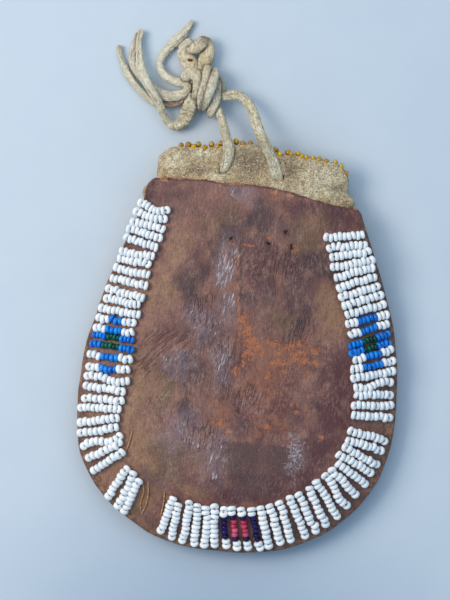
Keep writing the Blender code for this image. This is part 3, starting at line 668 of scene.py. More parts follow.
def cream_hide():
    skin = Finish("cream_hide", Roughness=0.95, Specular_IOR_Level=0.2)
    fibre = skin.stored("fibre", "Vector")
    streaks = skin.cloudy(1.0, 0.36, 0.64, 5.0, skin.stretched((0.22, 2.6, 2.6), fibre))
    skin.ground(streaks, (212, 200, 166), (245, 237, 208))
    skin.coat((230, 226, 210), 0.50, skin.cloudy(0.4, 0.45, 0.66, 5.0))
    dingy = skin.cloudy(0.45, 0.48, 0.70, 8.0, skin.stretched(MIRRORED))
    skin.coat((164, 136, 98), 0.50, dingy)
    pores = skin.cloudy(1.5, 0.52, 0.72, place=skin.stretched((0.9, 4.0, 4.0), fibre))
    skin.coat((126, 102, 74), 0.36, pores)
    crumbs = skin.cloudy(2.4, 0.52, 0.66)
    skin.coat((120, 92, 64), 0.30, crumbs)
    skin.coat((246, 242, 224), 0.62, skin.spotted(CLEAN_HIDE, 1.0))
    skin.coat((222, 194, 142), 0.40, skin.spotted(WARM_HIDE, 1.0))
    skin.coat((156, 146, 124), 0.42, skin.spotted(HANDLED_HIDE, 1.0))
    # Dirt and painted shade in the grooves and wrinkles, and where strands lie close.
    skin.coat((108, 78, 58), 0.75, skin.stored("touch"))
    # Reddish stain on the low end, partly painted shade where it lies under the crossing strands.
    skin.coat((140, 98, 84), 0.65, skin.stored("stained"))
    # Painted shade inside the slits in the thong.
    skin.coat((92, 44, 40), 0.95, skin.spotted(HIDE_SLITS, 0.45))
    skin.height = skin.math("SUBTRACT", 0.0, pores)
    skin.lift(streaks, 0.5)
    skin.lift(dingy, -0.5)
    skin.lift(crumbs, -0.6)
    return skin.done(0.00026)


hide = cream_hide()
thread = Finish("sinew_thread", Roughness=0.7)
thread.ground(thread.cloudy(1.8, 0.35, 0.65), (140, 98, 66), (190, 150, 104))
sinew = thread.done()
print("hide nodes:", len(hide.node_tree.nodes))

# %% [markdown]
# ## Glass beads
# Seed beads are cut from drawn glass tube and tumbled until their edges are round. The opaque colours are
# glossy with a little tone of their own from bead to bead. The amber ones on the collar are clear glass,
# which lets some of the light through. A mask by the angle of view darkens them toward their rims, as real
# ones are, since a curved rim bends darker surroundings into view.

# %% Bead materials
# Each: name, darkest and lightest tone, and width as a share of a white bead's.
BEAD_LOOKS = {
    "W": ("white_glass", (228, 235, 241), (243, 246, 248), 1.0),
    "B": ("blue_glass", (6, 102, 200), (22, 142, 236), 0.86),
    "G": ("green_glass", (0, 52, 44), (0, 100, 80), 0.74),
    "N": ("navy_glass", (10, 5, 54), (24, 18, 104), 0.69),
    "R": ("rose_glass", (184, 40, 80), (224, 98, 136), 0.72),
}


def opaque_glass(name, first, second):
    glass = Finish(name, IOR=1.5, Specular_IOR_Level=0.32)
    tone = glass.stored("tone")
    glass.ground(tone, first, second)
    glass.rough = 0.10
    glass.roughen(tone, 0.12)
    return glass.done()


bead_materials = {letter: opaque_glass(*look[:3]) for letter, look in BEAD_LOOKS.items()}
clear = Finish("amber_glass", Roughness=0.06, IOR=1.5, Specular_IOR_Level=0.25, Transmission_Weight=0.35)
clear.ground(clear.stored("tone"), (204, 138, 0), (250, 200, 6))
glass_rim = add_node(clear.tree, "ShaderNodeLayerWeight", {"Blend": 0.72}).outputs["Facing"]
clear.coat((60, 32, 3), 0.96, glass_rim)
amber = clear.done()
print("materials:", len(bpy.data.materials))

# %% [markdown]
# ## The bag's form
# The two panels are sewn round the rim and swell apart inside it. Height depends mostly on how far a point
# lies from the rim, so one distance function shapes the back, the front, the beads that lie on the front,
# and the collar in the mouth. Near the mouth the panels stand further apart, so that the collar fits
# between them. The outline's points were chosen along the real edge.

# %% Outline
RIM_SAMPLES = 1400
MOUTH_SAMPLES = 300
RIM_POINTS = [
    (-29.6, 44.0), (-30.6, 42.8), (-31.1, 41.0), (-31.2, 39.2), (-31.7, 37.0), (-32.9, 33.0), (-35.7, 25.4),
    (-37.5, 20.0), (-39.8, 13.3), (-41.9, 4.3),
    (-43.5, -1.6), (-44.2, -6.8), (-44.6, -14.3), (-44.6, -20.2), (-44.0, -26.8), (-42.6, -34.0),
    (-39.3, -40.2),
    (-36.1, -44.4), (-31.6, -48.4), (-26.2, -52.0), (-20.7, -55.0), (-13.6, -57.2), (-5.8, -58.1),
    (2.2, -58.1),
    (9.8, -57.4), (16.3, -56.1), (22.0, -53.8), (26.8, -51.2), (31.2, -47.8), (35.2, -43.9), (38.6, -39.2),
    (41.4, -34.4), (43.2, -28.8), (44.3, -23.0), (44.7, -16.6), (44.5, -9.8), (44.0, -3.2), (42.7, 4.4),
    (40.6, 12.6), (37.8, 20.2), (35.1, 27.0), (31.9, 34.5), (30.1, 38.6), (29.4, 40.2), (28.3, 41.3),
]
MOUTH_POINTS = [
    (-29.6, 44.0), (-28.6, 44.5), (-24.4, 44.8), (-17.9, 45.1), (-14.9, 45.2), (-11.6, 44.9), (-8.3, 44.7),
    (-6.2, 45.3), (-3.0, 45.1), (0.9, 45.1), (4.3, 44.7), (9.2, 44.0), (13.7, 43.1), (18.6, 42.1),
    (22.5, 41.5),
    (26.4, 41.3), (28.3, 41.3),
]
rim_line = smooth_line(np.array(RIM_POINTS) * MM, RIM_SAMPLES)
mouth_line = smooth_line(np.array(MOUTH_POINTS) * MM, MOUTH_SAMPLES)
rim_tree = kdtree.KDTree(len(rim_line))
for number, (x, y) in enumerate(rim_line):
    rim_tree.insert((x, y, 0.0), number)
rim_tree.balance()
print("rim:", round(line_length(rim_line) * 1000), "mm long")

# %% Heights
LEATHER = 0.0014
SEAM_MARGIN = 0.0022
RIM_HEIGHT = 0.0026
CROWN_HEIGHT = 0.0096
BACK_SHOULDER = 0.012
FRONT_SHOULDER = 0.020
COLLAR_STACK = 0.0036
SKIRT_Y = 0.0331
OPENING_REACH = 0.0200
FIT_GAP = 0.0003
COLLAR_GAP = 0.0006


def mouth_height(x):
    return np.interp(x, mouth_line[:, 0], mouth_line[:, 1])


def from_rim(points):
    return np.array([rim_tree.find((p[0], p[1], 0.0))[2] for p in points])


def swell(points, shoulder):
    """0 on the sewn rim, rising to 1 where the shoulder ends."""
    share = np.clip((from_rim(points) - SEAM_MARGIN) / shoulder, 0.0, 1.0)
    return 1.0 - (1.0 - share) ** 2


def back_outside(points):
    return RIM_HEIGHT * (1.0 - swell(points, BACK_SHOULDER))


def back_bottom(points):
    """Height of the back's outer face: flat on the table, with faint hollows."""
    return back_outside(points) + 0.00012 * (1.0 + wander(points, 70.0, 21.0))


def front_inside(points):
    points = np.asarray(points)
    share = np.clip((points[:, 1] - (SKIRT_Y - OPENING_REACH)) / (OPENING_REACH - 2 * COLLAR_GAP), 0.0, 1.0)
    opening = FIT_GAP + (COLLAR_STACK - FIT_GAP) * share * share * (3 - 2 * share)
    at_rim = RIM_HEIGHT + LEATHER + opening
    return at_rim + (CROWN_HEIGHT - at_rim) * swell(points, FRONT_SHOULDER)


def front_top(points):
    """Height of the front's outer face, with the soft hollows and swellings of old leather."""
    points = np.asarray(points)[:, :2]
    step = 0.0006
    low = front_inside(points)
    slope_x = (front_inside(points + [step, 0.0]) - low) / step
    slope_y = (front_inside(points + [0.0, step]) - low) / step
    relief = 0.00022 * wander(points, 75.0, 3.0) + 0.00008 * wander(points, 260.0, 9.0)
    return low + LEATHER * np.sqrt(1.0 + slope_x ** 2 + slope_y ** 2) + relief


crown = front_top(np.array([[0.0, 0.0]]))[0]
print("height over the bag's middle:", round(crown * 1000, 1), "mm")

# %% [markdown]
# ## Leather panels
# Each panel is a skin of lines that run from the cut rim to the bag's middle. That keeps the real outline
# exact and puts the smallest faces at the edge, where the eye looks. Solidify then gives the leather its
# thickness, and a second material for the raw cut. The rim wavers a little, because it was cut by hand.

# %% Lines of a panel
COLUMNS = 360
RINGS = 72
RIM_STOPS = 141
RIM_CROWDING = 1.35
CUT_OUTWARD_MOST = 0.00012
SPINE_START = -0.0170
SPINE_REACH = 0.26
MOUTH_BELOW = 0.00035
MOUTH_BELOW_STEP = 0.00015
EDGE_DROPS = (0.00018, 0.00004)


def panel_plan(seed):
    """Flat places of the panel's corners, line after line from the rim inward."""
    columns = smooth_line(rim_line[np.linspace(0, len(rim_line) - 1, RIM_STOPS).astype(int)], COLUMNS + 1)
    cut = 0.00016 * wander(columns, 160.0, seed) + 0.00007 * wander(columns, 900.0, seed)
    columns = columns - left_of(columns) * np.minimum(cut, CUT_OUTWARD_MOST)[:, None]
    middle = float(mouth_height(0.0))
    shares = (np.arange(RINGS + 1) / RINGS) ** RIM_CROWDING
    off_rim = np.minimum(1.0, shares * 20)
    plan = []
    for number, edge in enumerate(columns):
        from_end = min(number, COLUMNS - number)
        way = from_end / COLUMNS / SPINE_REACH
        spine = np.array([0.0, middle + (SPINE_START - middle) * min(way, 1.0)])
        line = edge + shares[:, None] * (spine - edge)
        mouth = mouth_height(line[:, 0])
        if from_end == 0:
            frayed = 0.00026 * wander(line, 520.0, seed) + 0.00016 * wander(line, 1900.0, seed)
            line[:, 1] = mouth + frayed * off_rim
        else:
            line[:, 1] = np.minimum(line[:, 1], mouth - (MOUTH_BELOW + MOUTH_BELOW_STEP * from_end) * off_rim)
        plan.append(line)
    return np.vstack(plan)


# %% Panels
def panel_piece(name, height_at, materials, seed, upward):
    """A panel from its outer face, which looks up if upward is 1 and down if it is -1."""
    points = panel_plan(seed)
    rows = RINGS + 1
    edge_drop = np.zeros(rows)
    edge_drop[:2] = EDGE_DROPS
    heights = height_at(points) - upward * np.tile(edge_drop, COLUMNS + 1)
    first = np.arange(COLUMNS)[:, None] * rows + np.arange(RINGS)
    faces = np.stack([first, first + rows, first + rows + 1, first + 1], axis=-1).reshape(-1, 4)
    if upward < 0:
        faces = faces[:, ::-1]
    piece = make_piece(name, np.column_stack([points, heights]), faces.tolist(), materials)
    store_values(piece, "from_mouth", "FLOAT", (mouth_height(points[:, 0]) - points[:, 1]) * 1000)
    store_values(piece, "from_rim", "FLOAT", from_rim(points) * 1000)
    weld = piece.modifiers.new("weld", "WELD")
    weld.merge_threshold = 0.00001
    wall = piece.modifiers.new("thickness", "SOLIDIFY")
    wall.thickness = LEATHER
    wall.offset = -1.0
    wall.material_offset_rim = 1
    return piece


front_piece = panel_piece("front_leather_panel", front_top, [front_leather, cut_edge], 1.7, 1.0)
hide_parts("front_panel")
back_piece = panel_piece("back_leather_panel", back_bottom, [back_leather, cut_edge], 6.3, -1.0)
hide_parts("back_panel")
print("panel corners:", len(front_piece.data.vertices))

# %% [markdown]
# ## Side welts
# Between the two panels, the seam beside the mouth is filled by a narrow strip of suede, a welt. Its end
# peeks out at the left corner of the mouth. How far down it runs is hidden, so that is a guess.

# %% Welts
WELT_WIDTH = 0.0021
WELT_STEP = 8
WELT_GAP = 0.00003
WELT_THINNEST = 0.0002
WELT_SUNK = 0.00025
TAB_PLACE = 0.11
TAB_SPREAD = 0.045
# Each: first and last sample of the rim line, and how far its tab juts out in metres.
WELTS = {"left_side_welt": (0, 200, 0.0014), "right_side_welt": (RIM_SAMPLES - 1, 1210, 0.0)}


def welt_piece(name, first, last, tab):
    step = WELT_STEP if last > first else -WELT_STEP
    outer = rim_line[first:last:step]
    inward = left_of(rim_line)[first:last:step]
    share = np.linspace(0.0, 1.0, len(outer))
    waver = 0.00012 * wander(outer, 500.0, 8.0)
    jut = tab * np.exp(-((share - TAB_PLACE) / TAB_SPREAD) ** 2) + waver - WELT_SUNK
    edge = outer - inward * jut[:, None]
    inner = outer + inward * WELT_WIDTH
    rounded = edge * 0.8 + inner * 0.2
    low = back_outside(outer) + LEATHER + WELT_GAP
    high = np.maximum(front_inside(outer) - WELT_GAP, low + WELT_THINNEST)
    middle = (low + high) / 2
    profile = [(edge, middle + (high - middle) * 0.7), (rounded, high), (inner, high), (inner, low),
               (rounded, low), (edge, middle - (middle - low) * 0.7)]
    verts = np.stack([np.column_stack([plan, level]) for plan, level in profile], axis=1).reshape(-1, 3)
    faces = ring_faces(len(outer), len(profile)) + end_faces(len(outer), len(profile))
    if last < first:
        faces = [face[::-1] for face in faces]
    return make_piece(name, verts, faces, [suede])


for name, (first, last, tab) in WELTS.items():
    welt = welt_piece(name, first, last, tab)
    print(name, "corners:", len(welt.data.vertices))

# %% [markdown]
# ## Seed beads
# Every row was sewn by hand in lazy stitch: eight to twelve beads strung on sinew, tacked down only at the
# row's ends. The rows are listed by their outer and inner ends in millimetres, with the chart of colours
# read from the rim inward. Each bead is a small turned ring, set along its thread with slight tilts. The
# beads at both ends of a row lean most, where the thread dives into the leather.

# %% Rows of the lane
LANE_ROWS = {
    "left_top": [
        ("W8", -32.1, 37.1, -24.6, 35.8), ("W8", -33.2, 34.4, -25.0, 33.3),
        ("W8", -33.8, 31.6, -25.3, 30.4), ("W9", -34.7, 29.6, -25.9, 27.9),
        ("W9", -35.2, 27.2, -26.7, 25.2),
    ],
    "left_side": [
        ("W9", -36.1, 23.2, -27.4, 22.6), ("W8", -36.7, 20.9, -28.4, 20.3),
        ("W9", -37.4, 18.3, -28.2, 17.2), ("W9", -38.2, 15.5, -28.5, 14.1),
        ("W10", -38.9, 12.5, -29.0, 10.8), ("W10", -39.1, 9.7, -30.1, 8.6),
        ("W10", -40.4, 6.7, -29.8, 5.7), ("W3B3W3", -40.9, 4.0, -31.0, 3.5),
        ("W3B4W3", -41.3, 1.0, -31.1, 0.8), ("B4G4B4", -41.6, -1.0, -30.9, -1.6),
        ("B3G5B4", -42.0, -3.3, -30.6, -4.1), ("W3B4W3", -42.4, -6.4, -31.0, -6.7),
        ("W3B4W3", -42.2, -9.9, -31.3, -9.8),
    ],
    "left_low": [
        ("W10", -42.5, -12.7, -31.1, -12.9), ("W9", -42.6, -15.5, -32.1, -15.8),
        ("W8", -42.6, -18.8, -32.1, -18.5), ("W10", -43.5, -21.6, -32.7, -20.9),
        ("W9", -43.2, -25.6, -33.0, -23.5), ("W8", -42.9, -28.7, -33.0, -26.0),
    ],
    "left_turn": [
        ("W9", -41.6, -32.3, -31.8, -28.2), ("W8", -39.9, -35.5, -31.5, -30.5),
        ("W8", -38.2, -38.9, -30.7, -32.8),
    ],
    "left_foot": [
        ("W8", -33.4, -45.7, -29.1, -37.2), ("W8", -30.5, -48.1, -26.9, -38.5),
        ("W8", -28.5, -49.4, -25.2, -40.5),
    ],
    "foot": [
        ("W9", -17.7, -53.8, -15.4, -44.3), ("W9", -14.5, -55.3, -13.6, -46.0),
        ("W10", -11.3, -56.0, -10.5, -45.1), ("W10", -8.2, -56.5, -8.1, -45.6),
        ("W9", -5.4, -56.6, -5.8, -46.1), ("W9", -2.6, -56.3, -3.3, -45.5),
        ("W2N5W2", 0.8, -56.2, -1.0, -46.0), ("W2N1R4N1W2", 3.9, -56.5, 1.4, -45.5),
        ("W2N1R4N1W2", 6.9, -56.1, 3.9, -45.5), ("W2N6W2", 10.3, -56.0, 6.7, -45.3),
        ("W9", 12.7, -55.1, 9.3, -44.7), ("W9", 15.7, -53.7, 11.9, -43.8),
        ("W9", 18.8, -52.8, 14.5, -42.7), ("W10", 22.6, -51.3, 17.1, -41.1),
        ("W9", 25.5, -49.6, 19.7, -39.8), ("W9", 28.1, -47.5, 22.3, -37.9),
        ("W10", 31.0, -45.1, 24.2, -35.7), ("W9", 33.4, -41.7, 26.4, -33.9),
        ("W8", 35.4, -38.6, 28.2, -32.1), ("W8", 38.0, -35.2, 29.9, -30.1),
        ("W9", 39.0, -32.2, 29.6, -27.6), ("W9", 40.7, -29.6, 31.2, -25.5),
        ("W9", 41.5, -25.6, 31.8, -23.4), ("W9", 42.3, -22.6, 32.3, -20.7),
    ],
    "right_low": [
        ("W9", 43.0, -16.0, 32.7, -16.3), ("W9", 43.0, -12.7, 32.6, -13.5),
        ("W9", 42.5, -9.5, 33.0, -10.8), ("W9", 42.3, -6.1, 32.6, -8.5),
        ("W10", 42.6, -3.1, 31.7, -6.0),
    ],
    "right_side": [
        ("W3B5W3", 42.4, -0.4, 31.2, -3.6), ("W3B4W3", 41.5, 2.8, 31.8, -0.9),
        ("B4G4B4", 40.8, 4.7, 30.5, 0.9), ("B4G4B4", 40.3, 7.0, 30.0, 2.8),
        ("W3B4W3", 39.7, 10.0, 29.8, 6.0), ("W3B5W3", 39.3, 12.6, 28.7, 8.8),
        ("W9", 38.2, 15.2, 28.3, 11.5), ("W9", 37.1, 17.9, 27.2, 13.8), ("W9", 35.9, 20.3, 26.2, 16.2),
        ("W9", 34.9, 22.6, 25.3, 18.8), ("W10", 34.0, 25.2, 24.2, 21.4),
        ("W10", 33.8, 27.4, 23.0, 24.4), ("W9", 32.5, 29.5, 22.5, 27.1),
        ("W9", 31.3, 31.5, 21.5, 29.6), ("W9", 30.4, 34.1, 20.4, 32.3),
    ],
}
row_total = sum(len(rows) for rows in LANE_ROWS.values())
print("rows:", row_total)

# %% One bead
BEAD_WIDTH = 0.00244
BEAD_HOLE = 0.00030
BEAD_SIDES = 14
BORE_STOPS = np.array([0.85, 0.0, -0.85])
OUTSIDE_STOPS = 8
PROFILE_SIDES = OUTSIDE_STOPS + len(BORE_STOPS)


def bead_shell(hole, end_power, side_power):
    """A bead one unit long and one unit wide, its hole along X, and its faces."""
    turn = np.linspace(0.08, 0.92, OUTSIDE_STOPS) * math.pi
    along = 0.5 * np.sign(np.cos(turn)) * np.abs(np.cos(turn)) ** end_power
    out = np.maximum(0.5 * np.sin(turn) ** side_power, hole * 1.1)
    along = np.concatenate([along, along[-1] * BORE_STOPS])
    out = np.concatenate([out, [hole] * len(BORE_STOPS)])
    around = np.arange(BEAD_SIDES) / BEAD_SIDES * 2 * math.pi
    shell = np.array([(a, r * math.cos(t), r * math.sin(t)) for t in around for a, r in zip(along, out)])
    faces = []
    for side in range(BEAD_SIDES):
        here, onward = side * PROFILE_SIDES, (side + 1) % BEAD_SIDES * PROFILE_SIDES
        for spot in range(PROFILE_SIDES):
            after = (spot + 1) % PROFILE_SIDES
            faces.append((here + spot, onward + spot, onward + after, here + after))
    return shell, np.array(faces)


def turned(axis):
    """Directions of a bead whose hole points along the axis."""
    ahead = np.asarray(axis) / np.linalg.norm(axis)
    side = np.cross((0.0, 0.0, 1.0), ahead)
    side = side / max(np.linalg.norm(side), 1e-9)
    return np.array([ahead, side, np.cross(ahead, side)])


SHELL, SHELL_FACES = bead_shell(BEAD_HOLE / BEAD_WIDTH, 0.80, 0.50)
print("faces of a bead:", len(SHELL_FACES))


# %% Threads and piles
def tube(points, radius, sides=6):
    """Corners and faces of a thin thread along the points."""
    points = np.asarray(points)
    ahead = np.gradient(points, axis=0)
    ahead /= np.linalg.norm(ahead, axis=1)[:, None] + 1e-12
    side = np.cross(ahead, (0.0, 0.0, 1.0))
    side /= np.linalg.norm(side, axis=1)[:, None] + 1e-12
    up = np.cross(side, ahead)
    turn = np.arange(sides) / sides * 2 * math.pi
    around = side[:, None] * np.cos(turn)[:, None] + up[:, None] * np.sin(turn)[:, None]
    verts = (points[:, None] + radius * around).reshape(-1, 3)
    return verts, ring_faces(len(points), sides) + end_faces(len(points), sides)


class Pile:
    """Gathers corners, faces, tones and materials of many small forms for one piece."""

    def __init__(self):
        self.verts, self.faces, self.tones, self.looks = [], [], [], []
        self.size = 0

    def add(self, verts, faces, look, tone=0.5):
        self.verts.append(np.asarray(verts))
        self.faces += [tuple(int(corner) + self.size for corner in face) for face in faces]
        self.tones += [tone] * len(verts)
        self.looks += [look] * len(faces)
        self.size += len(verts)

    def piece(self, name, materials):
        made = make_piece(name, np.vstack(self.verts), self.faces, materials, self.looks, sharp=50)
        store_values(made, "tone", "FLOAT", self.tones)
        return made


# %% One row
THREAD_RADIUS = 0.00011
THREAD_SIDES = 5
THREAD_OVERHANG = 0.0009
BEAD_LONGEST = 0.00150
chance = np.random.default_rng(74)


def read_chart(chart):
    """W2N1W2 becomes WWNWW."""
    letters, number = "", ""
    for sign in chart + "#":
        if sign.isdigit():
            number += sign
            continue
        if number:
            letters += letter * int(number)
        letter, number = sign, ""
    return letters


def bead_row(pile, letters, row, bow, looks):
    """One row of beads on the leather, and its thread."""
    outer, inner = np.array(row[0:2]) * MM, np.array(row[2:4]) * MM
    count = len(letters)
    share = np.arange(count) / (count - 1)
    ahead = (inner - outer) / np.linalg.norm(inner - outer)
    aside = np.array([-ahead[1], ahead[0]])
    pitch = np.linalg.norm(inner - outer) / (count - 1)
    bend = bow[0] * np.sin(share * math.pi) + bow[1] * np.sin(share * 2 * math.pi)
    bend = (bend + chance.normal(0.0, 0.10) * np.sin(share * math.pi)) * MM
    bend = bend + chance.normal(0.0, 0.00013, count)
    plan = outer + share[:, None] * (inner - outer) + aside * bend[:, None]
    radius = np.array([BEAD_WIDTH / 2 * BEAD_LOOKS[letter][3] for letter in letters])
    radius = radius * chance.uniform(0.95, 1.08, count)
    lift = radius * 0.94 + chance.normal(0.0, 0.00007, count)
    lift[[0, -1]] -= 0.00012
    centres = np.column_stack([plan, front_top(plan) + lift])
    axes = np.gradient(centres, axis=0)
    axes /= np.linalg.norm(axes, axis=1)[:, None]
    axes += chance.normal(0.0, 0.12, axes.shape)
    dive_in, dive_out = chance.uniform(0.15, 0.8), chance.uniform(0.1, 0.8)
    axes[-1] += (0.0, 0.0, -dive_in)
    axes[0] += (0.0, 0.0, dive_out)
    for centre, axis, half, letter in zip(centres, axes, radius, letters):
        length = min(pitch * chance.uniform(0.98, 1.10), BEAD_LONGEST)
        body = SHELL * [length, 2 * half, 2 * half]
        pile.add(centre + body @ turned(axis), SHELL_FACES, looks.index(letter), chance.uniform())
    overhang = np.array([*ahead, 0.0]) * THREAD_OVERHANG
    start, end = centres[0] - overhang, centres[-1] + overhang
    for spot in (start, end):
        spot[2] = front_top(spot[None])[0] - 0.0002
    pile.add(*tube(np.vstack([start, centres, end]), THREAD_RADIUS, THREAD_SIDES), len(looks))


# %% Rows of beads
# How far these rows bow: to one side, and to one side and back, in millimetres.
ROW_BOWS = {("left_top", 0): (-0.9, 0.3), ("left_top", 1): (-0.5, 0.2), ("left_turn", 0): (-0.4, 0.9),
            ("foot", 4): (-0.5, 0.0), ("foot", 17): (0.0, 0.6), ("right_low", 3): (0.3, -0.5),
            ("left_side", 11): (-0.4, 0.0), ("left_low", 0): (0.0, 0.4)}
for run, rows in LANE_ROWS.items():
    lone = len(rows) % 2
    groups = [rows[:1]] * lone + [rows[first:first + 2] for first in range(lone, len(rows), 2)]
    number = 0
    for place, group in enumerate(groups):
        pile = Pile()
        charts = [read_chart(row[0]) for row in group]
        looks = sorted(set("".join(charts)))
        for letters, row in zip(charts, group):
            bead_row(pile, letters, row[1:], ROW_BOWS.get((run, number), (0.0, 0.0)), looks)
            number += 1
        label = f"{run}_{place + 1:02d}"
        piece = pile.piece(f"seed_beads_{label}", [bead_materials[letter] for letter in looks] + [sinew])
        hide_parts(f"bead_rows_{label}")

# %% [markdown]
# ## Suede collar
# The collar is a soft tube that stands out of the mouth, held between the two leather panels below it. It
# is lofted in levels from the hidden skirt to the uneven beaded edge. Pushing the grid apart round one
# corner and dropping the faces there opens each thong hole, and Solidify then gives the wall.

# %% Form of the collar
COLLAR_EDGE = [
    (-27.6, 51.0), (-27.0, 52.3), (-25.2, 53.5), (-23.3, 54.0), (-18.8, 54.1), (-15.7, 54.2), (-11.6, 55.1),
    (-7.2, 55.8), (-1.9, 56.6), (3.3, 55.1), (6.2, 54.4), (10.4, 54.4), (13.8, 54.2), (17.5, 53.7),
    (20.9, 53.4),
    (22.7, 52.6), (23.7, 51.2), (24.4, 49.6),
]
COLLAR_MIDDLE = -0.0016
COLLAR_HALF = 0.0260
ACROSS = 72
LEVELS = 26
BULGE_Y = 0.0427
BULGE_SPREAD = 0.0013
BULGE = 0.0026
FREE_FROM = 0.045
FREE_REACH = 0.004
CREASE_X = 0.0095
CREASE_SPREAD = 0.0028
COLLAR_LOWEST = 0.0021


def collar_edge(x):
    points = np.array(COLLAR_EDGE) * MM
    return np.interp(x, points[:, 0], points[:, 1])


def collar_heights(x):
    at_mouth = np.column_stack([x, mouth_height(x)])
    under = back_outside(at_mouth) + LEATHER + COLLAR_GAP
    return under, front_inside(at_mouth) - COLLAR_GAP


def collar_ring(rise, at_edge):
    """Corners once round the collar, its back wall first, at a share of its rise."""
    spread = np.sin(np.linspace(-math.pi / 2, math.pi / 2, ACROSS))
    base_x = COLLAR_MIDDLE + spread * COLLAR_HALF
    y = SKIRT_Y + (collar_edge(base_x) - SKIRT_Y) * rise
    near_mouth = np.exp(-((y - BULGE_Y) / BULGE_SPREAD) ** 2)
    x = base_x + BULGE * near_mouth * np.clip(spread, 0.0, 1.0) ** 8
    under, top = collar_heights(x)
    out = np.column_stack([x, y])
    middle = (under + top) / 2
    rounded = (1.0 - np.abs(spread) ** 6) ** 0.5 * 0.55 + 0.45
    free = np.clip((y - FREE_FROM) / FREE_REACH, 0.0, 1.0)
    crease = 0.0003 * np.exp(-((x - CREASE_X) / CREASE_SPREAD) ** 2)
    front_z = middle + (top - middle) * rounded + free * (0.00035 * wander(out, 110.0, 4.0) - crease)
    back_z = middle - (middle - under) * rounded + free * 0.00025 * wander(out, 110.0, 14.0)
    fray = 0.00022 * wander(out, 700.0, 2.0) * at_edge
    back = np.column_stack([x, y + fray, np.maximum(back_z, COLLAR_LOWEST)])
    front = np.column_stack([x, y + fray, front_z])
    return np.vstack([back, front[::-1]])


# %% Thong holes and collar
SUEDE_THICKNESS = 0.0010
# Each: centre x, y and half width, half height in millimetres.
THONG_HOLES = [(-9.6, 48.3, 0.50, 0.40), (5.5, 47.7, 0.8, 0.36)]
HOLE_REACH = 2.6


def open_hole(verts, faces, hole):
    """Pushes the front wall's corners away from the hole's centre, and gives the faces that stay."""
    centre, half = np.array(hole[:2]) * MM, np.array(hole[2:]) * MM
    offsets = (verts[:, :2] - centre) / half
    on_front = np.tile(np.arange(2 * ACROSS) >= ACROSS, LEVELS + 1)
    reach = np.where(on_front, np.linalg.norm(offsets, axis=1), 1e9)
    nearest = int(reach.argmin())
    verts[nearest, :2] = centre
    near = on_front & (reach < HOLE_REACH) & (np.arange(len(verts)) != nearest)
    pushed = 1.0 + reach[near] * (1.0 - 1.0 / HOLE_REACH)
    outward = offsets[near] / reach[near][:, None] * pushed[:, None]
    verts[near, :2] = centre + outward * np.array(hole[2:]) * MM
    return [face for face in faces if nearest not in face]


verts = np.vstack([collar_ring(level / LEVELS, level == LEVELS) for level in range(LEVELS + 1)])
faces = [(a, d, c, b) for a, b, c, d in ring_faces(LEVELS + 1, 2 * ACROSS)]
for hole in THONG_HOLES:
    faces = open_hole(verts, faces, hole)
collar = make_piece("suede_mouth_collar", verts, faces, [suede])
wall = collar.modifiers.new("thickness", "SOLIDIFY")
wall.thickness = SUEDE_THICKNESS
wall.offset = 1.0
smooth = collar.modifiers.new("rounding", "SUBSURF")
smooth.levels = smooth.render_levels = 1
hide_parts("suede_collar")
print("collar corners:", len(collar.data.vertices))

# %% [markdown]
# ## Edging beads
# Amber beads are sewn over the collar's edge, by turns on top of the suede and just beyond it. Their thread
# dips into the suede after every bead, and the short stitches show.

# %% Amber beads
EDGE_BEADS = {
    "edge_beads_left": [(-22.5, 54.3), (-20.5, 54.6), (-18.9, 54.2), (-17.7, 55.0), (-15.8, 54.2),
                        (-14.0, 55.4),
                        (-12.3, 54.8), (-11.3, 55.9)],
    "edge_beads_middle": [(-7.2, 56.8), (-5.3, 56.3), (-3.2, 56.6)],
    "edge_beads_right": [(4.0, 55.6), (5.4, 54.5), (7.6, 55.2), (8.5, 54.7), (10.4, 55.1), (11.5, 54.4),
                         (12.8, 54.3), (14.6, 54.3), (16.4, 54.0), (18.4, 53.8), (21.0, 53.7), (22.8, 52.8),
                         (24.2, 51.0)],
}
EDGE_WIDTH = 0.00184
ROUND_SHELL, _ = bead_shell(0.14, 1.0, 1.0)
ROUND_FORM = [0.92, 1.0, 1.0]


def edge_bead(pile, centre, edge, top):
    """One bead, and the stitch that follows it into the suede."""
    lean = chance.normal(0.0, 0.25, 3)
    body = ROUND_SHELL * ROUND_FORM * (EDGE_WIDTH * chance.uniform(0.90, 1.14))
    pile.add(centre + body @ turned(np.array([1.0, 0.0, 0.0]) + lean), SHELL_FACES, 0, chance.uniform())
    foot = np.array([centre[0] + 0.0007, edge - 0.0009, top - 0.0001])
    peak = (centre + foot) / 2 + [0.0003, 0.0, 0.0003]
    stitch = smooth_line([centre, peak, foot, foot - [0.0, 0.0, 0.0006]], 8)
    pile.add(*tube(stitch, THREAD_RADIUS, THREAD_SIDES), 1)


for node, places in EDGE_BEADS.items():
    pile = Pile()
    plan = np.array(places) * MM
    edges = collar_edge(plan[:, 0])
    _, tops = collar_heights(plan[:, 0])
    beyond = np.clip((plan[:, 1] - edges) / 0.0008, 0.0, 1.0)
    for centre, edge, top in zip(np.column_stack([plan, tops + 0.0004 - 0.0012 * beyond]), edges, tops):
        edge_bead(pile, centre, edge, top)
    piece = pile.piece(f"amber_{node}", [amber, sinew])
    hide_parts(node)
print("amber beads:", sum(len(places) for places in EDGE_BEADS.values()))

# %% [markdown]
# ## Hide thong
# A thong is a strip of skin, flat where it lies free and rolled where it was pulled or twisted. Each strip
# is swept along a listed route: every stop gives the place, the width and thickness in millimetres,
# and the roll in degrees. A shallow groove shows where the strip's edges meet, noise makes it uneven, and
# cross wrinkles gather where the strip was twisted hard.

